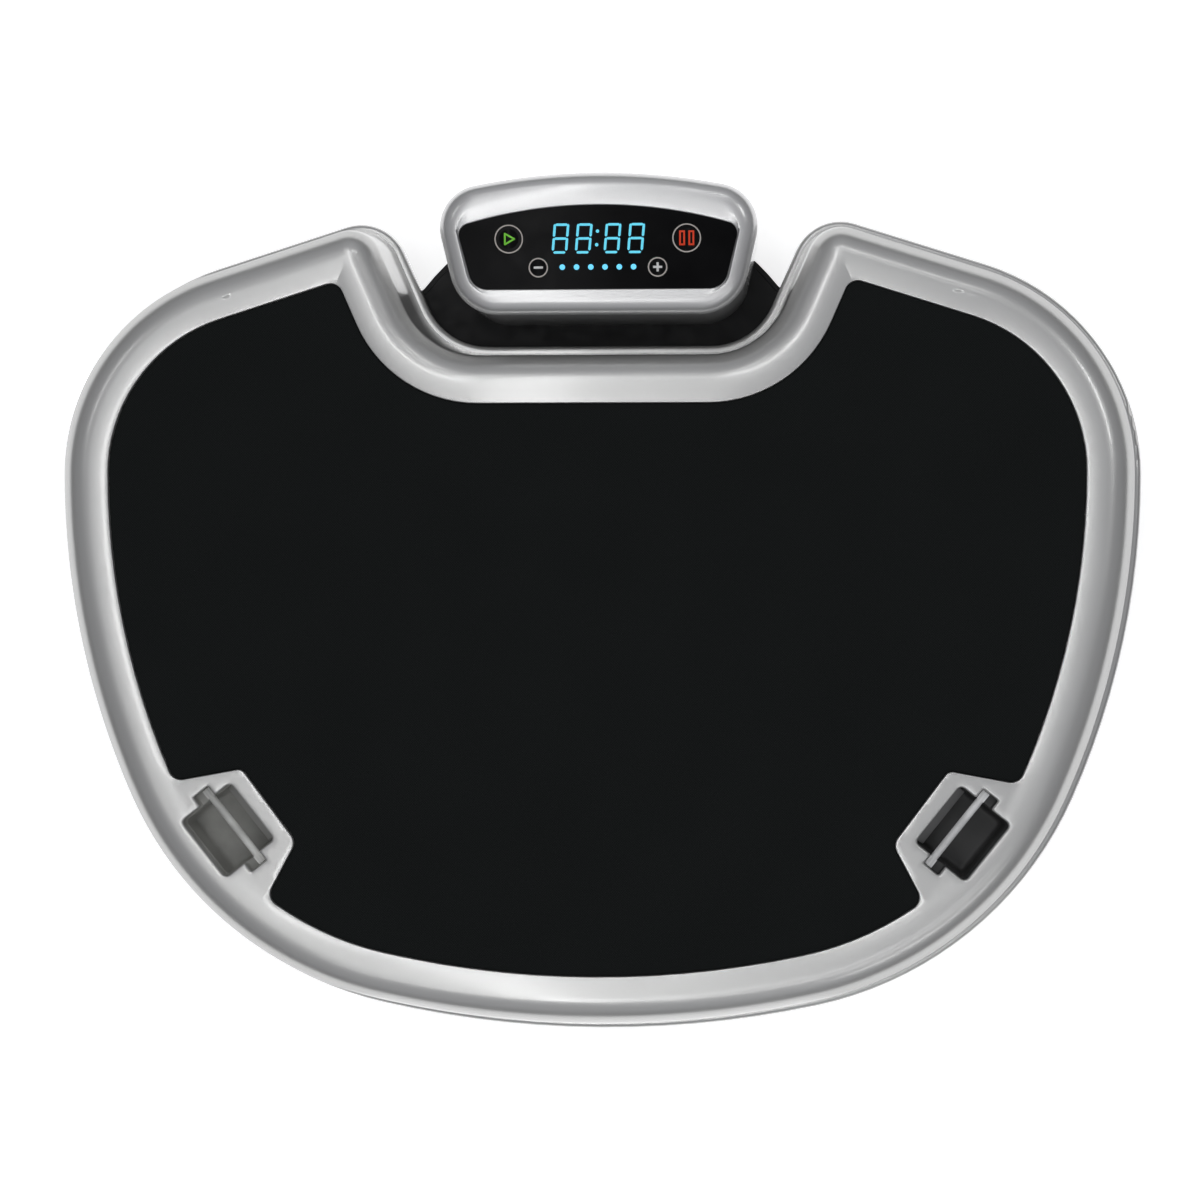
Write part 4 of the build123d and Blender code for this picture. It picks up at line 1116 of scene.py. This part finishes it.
def make_pieces(materials):
    """All the pieces that the CAD nodes don't show well enough by themselves."""
    shell_nodes = ("deck_shell", "deck_corner_left", "deck_corner_right")
    add_piece(make_shell(), "deck", materials["silver_shell"], shell_nodes)
    # painted shade in the right cup and painted light in the left: one moulding given a dark and a
    # light tone
    for side, name, slot in ((1, "right", "cup_dark"), (-1, "left", "cup_light")):
        cup = make_cup(side, f"strap_recess_{name}")
        add_piece(cup, "deck", materials[slot], [f"strap_cup_{name}"])
        slope = make_slope(side, f"strap_slope_{name}")
        add_piece(slope, "deck", materials["silver_console"])
    add_piece(make_bezel(), "base", materials["silver_console"], ["console_bezel"])
    add_piece(make_digits(), "base", materials["display_face"])
    add_piece(make_lamp_dots(), "base", materials["lamp_blue"])
    # The key inks are print, not lamps: their faint glow is painted light.
    ring_ink = lit("ring_ink", (0.50, 0.46, 0.43), 0.12).material
    marks = {
        "play": lit("green_ink", (0.16, 0.50, 0.05), 0.45).material,
        "pause": lit("red_ink", (0.58, 0.05, 0.02), 0.5).material,
        "minus": lit("white_ink", (0.75, 0.75, 0.75), 0.15).material,
    }
    marks["plus"] = marks["minus"]
    for key in KEYS:
        add_piece(make_key_ring(key), f"{key}_key", ring_ink)
        add_piece(make_key_mark(key), f"{key}_key", marks[key])


# ---------------------------------------------------------------- camera, light and floor

CAMERA_HEIGHT = 1.95
CAMERA_SIDE = 0.125
CAMERA_TARGET = Vector((0.0044, 0.0072, MAT_TOP * MM))
VIEW_WIDTH = 0.7363
SENSOR_WIDTH = 36.0
FLOOR_HALF = 6.0
FLOOR_GLOW = 0.68
LIGHT_HEIGHT = 2.7
STREAK_DISTANCE = 2.2
HORIZON = (0.12, 0.45)
SKY_STRENGTH = (0.1, 0.42)
SIDES = (0.15, 0.65)
SIDE_STRENGTH = (1.0, 0.62)


def make_camera():
    """The camera stands almost straight above the deck, a little to its right."""
    data = bpy.data.cameras.new("camera")
    camera = add_object("camera", data)
    camera.location = (CAMERA_SIDE, CAMERA_TARGET.y, CAMERA_TARGET.z + CAMERA_HEIGHT)
    aim = CAMERA_TARGET - camera.location
    camera.rotation_mode = "QUATERNION"
    right = Vector((1, 0, 0))
    back = -aim.normalized()
    up = back.cross(right).normalized()
    right = up.cross(back)
    camera.rotation_quaternion = Matrix((right, up, back)).transposed().to_quaternion()
    data.sensor_width = SENSOR_WIDTH
    data.lens = SENSOR_WIDTH * aim.length / VIEW_WIDTH
    data.clip_start, data.clip_end = 0.05, 50.0
    bpy.context.scene.camera = camera


def add_light(name, size, radiance, color):
    """An area light of a size in metres; radiance is its brightness as seen."""
    data = bpy.data.lights.new(name, "AREA")
    data.shape = "RECTANGLE"
    data.size, data.size_y = size
    data.energy = radiance * pi * size[0] * size[1]
    data.color = color
    return add_object(name, data)


def ceiling_light(name, place, size, radiance, color=(1, 1, 1)):
    """A soft box hanging over the deck and facing straight down."""
    light = add_light(name, size, radiance, color)
    light.location = (*place, LIGHT_HEIGHT)


def streak_light(name, azimuth, elevation, size, radiance):
    """A narrow strip, level and facing the deck, that draws a thin line along its rim."""
    light = add_light(name, size, radiance, (1, 1, 1))
    turn, lift = radians(azimuth), radians(elevation)
    aim = Vector((cos(turn) * cos(lift), sin(turn) * cos(lift), sin(lift)))
    light.location = aim * STREAK_DISTANCE + Vector((0, 0, CREST_TOP * MM))
    light.rotation_mode = "QUATERNION"
    light.rotation_quaternion = aim.to_track_quat("Z", "Y")


def make_light():
    """A bright strip and softer panels overhead, and level strips for the rim's streaks."""
    ceiling_light("strip", (-0.26, 0.0), (0.13, 3.4), 6.5)
    ceiling_light("front_left", (-0.7, 0.5), (0.6, 0.5), 0.45)
    ceiling_light("rear_left", (-0.74, -0.5), (0.6, 0.5), 0.5, (1.0, 0.985, 0.955))
    ceiling_light("rear_right", (0.35, -0.65), (0.6, 0.4), 0.1)
    streak_light("rear_right_high", -72, 66, (1.0, 0.06), 4.0)
    streak_light("rear_right_middle", -62, 54, (1.2, 0.07), 4.0)
    streak_light("rear_right_low", -56, 38, (1.0, 0.09), 4.5)
    streak_light("rear_left_high", -104, 58, (0.8, 0.12), 2.0)
    streak_light("flank_right", 74, 50, (0.6, 0.08), 6.0)
    streak_light("flank_left", 106, 50, (0.45, 0.07), 5.0)
    streak_light("throat_left", 24, 52, (0.5, 0.18), 6.0)
    streak_light("throat_right", 156, 50, (0.5, 0.1), 4.0)
    streak_light("notch", 76, 60, (0.7, 0.05), 3.5)


def sky_level(tree, source, axis_range, levels):
    """A level that changes smoothly as a sky direction's component crosses a range."""
    spread = tree.nodes.new("ShaderNodeMapRange")
    spread.interpolation_type = "SMOOTHSTEP"
    tree.links.new(source, spread.inputs["Value"])
    sockets = ("From Min", "From Max", "To Min", "To Max")
    for socket, value in zip(sockets, (*axis_range, *levels)):
        spread.inputs[socket].default_value = value
    return spread.outputs["Result"]


def make_sky():
    """A studio dome, darker near the horizon and to the sides, so that walls read darker."""
    world = bpy.data.worlds.new("studio")
    bpy.context.scene.world = world
    world.use_nodes = True
    tree = world.node_tree
    background = tree.nodes["Background"]
    background.inputs["Color"].default_value = (0.95, 0.96, 1.0, 1.0)
    split = tree.nodes.new("ShaderNodeSeparateXYZ")
    direction = tree.nodes.new("ShaderNodeTexCoord").outputs["Generated"]
    tree.links.new(direction, split.inputs["Vector"])
    aside = tree.nodes.new("ShaderNodeMath")
    aside.operation = "ABSOLUTE"
    tree.links.new(split.outputs["X"], aside.inputs[0])
    strength = tree.nodes.new("ShaderNodeMath")
    strength.operation = "MULTIPLY"
    upward = sky_level(tree, split.outputs["Z"], HORIZON, SKY_STRENGTH)
    sideways = sky_level(tree, aside.outputs["Value"], SIDES, SIDE_STRENGTH)
    tree.links.new(upward, strength.inputs[0])
    tree.links.new(sideways, strength.inputs[1])
    tree.links.new(strength.outputs["Value"], background.inputs["Strength"])


def make_floor():
    """A plain pale floor."""
    mesh = bpy.data.meshes.new("floor")
    half = FLOOR_HALF
    corners = [(-half, -half, 0), (half, -half, 0), (half, half, 0), (-half, half, 0)]
    mesh.from_pydata(corners, [], [(0, 1, 2, 3)])
    floor = add_object("floor", mesh)
    surface = Surface("floor", (0.93, 0.93, 0.93), 0.9)
    surface.tint(surface.noise(300.0), (0.925, 0.925, 0.925), (0.94, 0.94, 0.94))
    surface.shader.inputs["Emission Color"].default_value = (1.0, 1.0, 1.0, 1.0)
    surface.shader.inputs["Emission Strength"].default_value = FLOOR_GLOW
    dress(floor, surface.material)


def set_tones():
    """Plain display tones, so the pale floor stays white."""
    settings = bpy.context.scene.view_settings
    settings.view_transform = "Standard"
    settings.look = "None"
    settings.exposure = 0.0


make_camera()
set_tones()
make_light()
make_sky()
make_floor()
slot_materials = make_materials()
dress_frame(slot_materials)
make_pieces(slot_materials)
stretch_isolators(slot_materials)
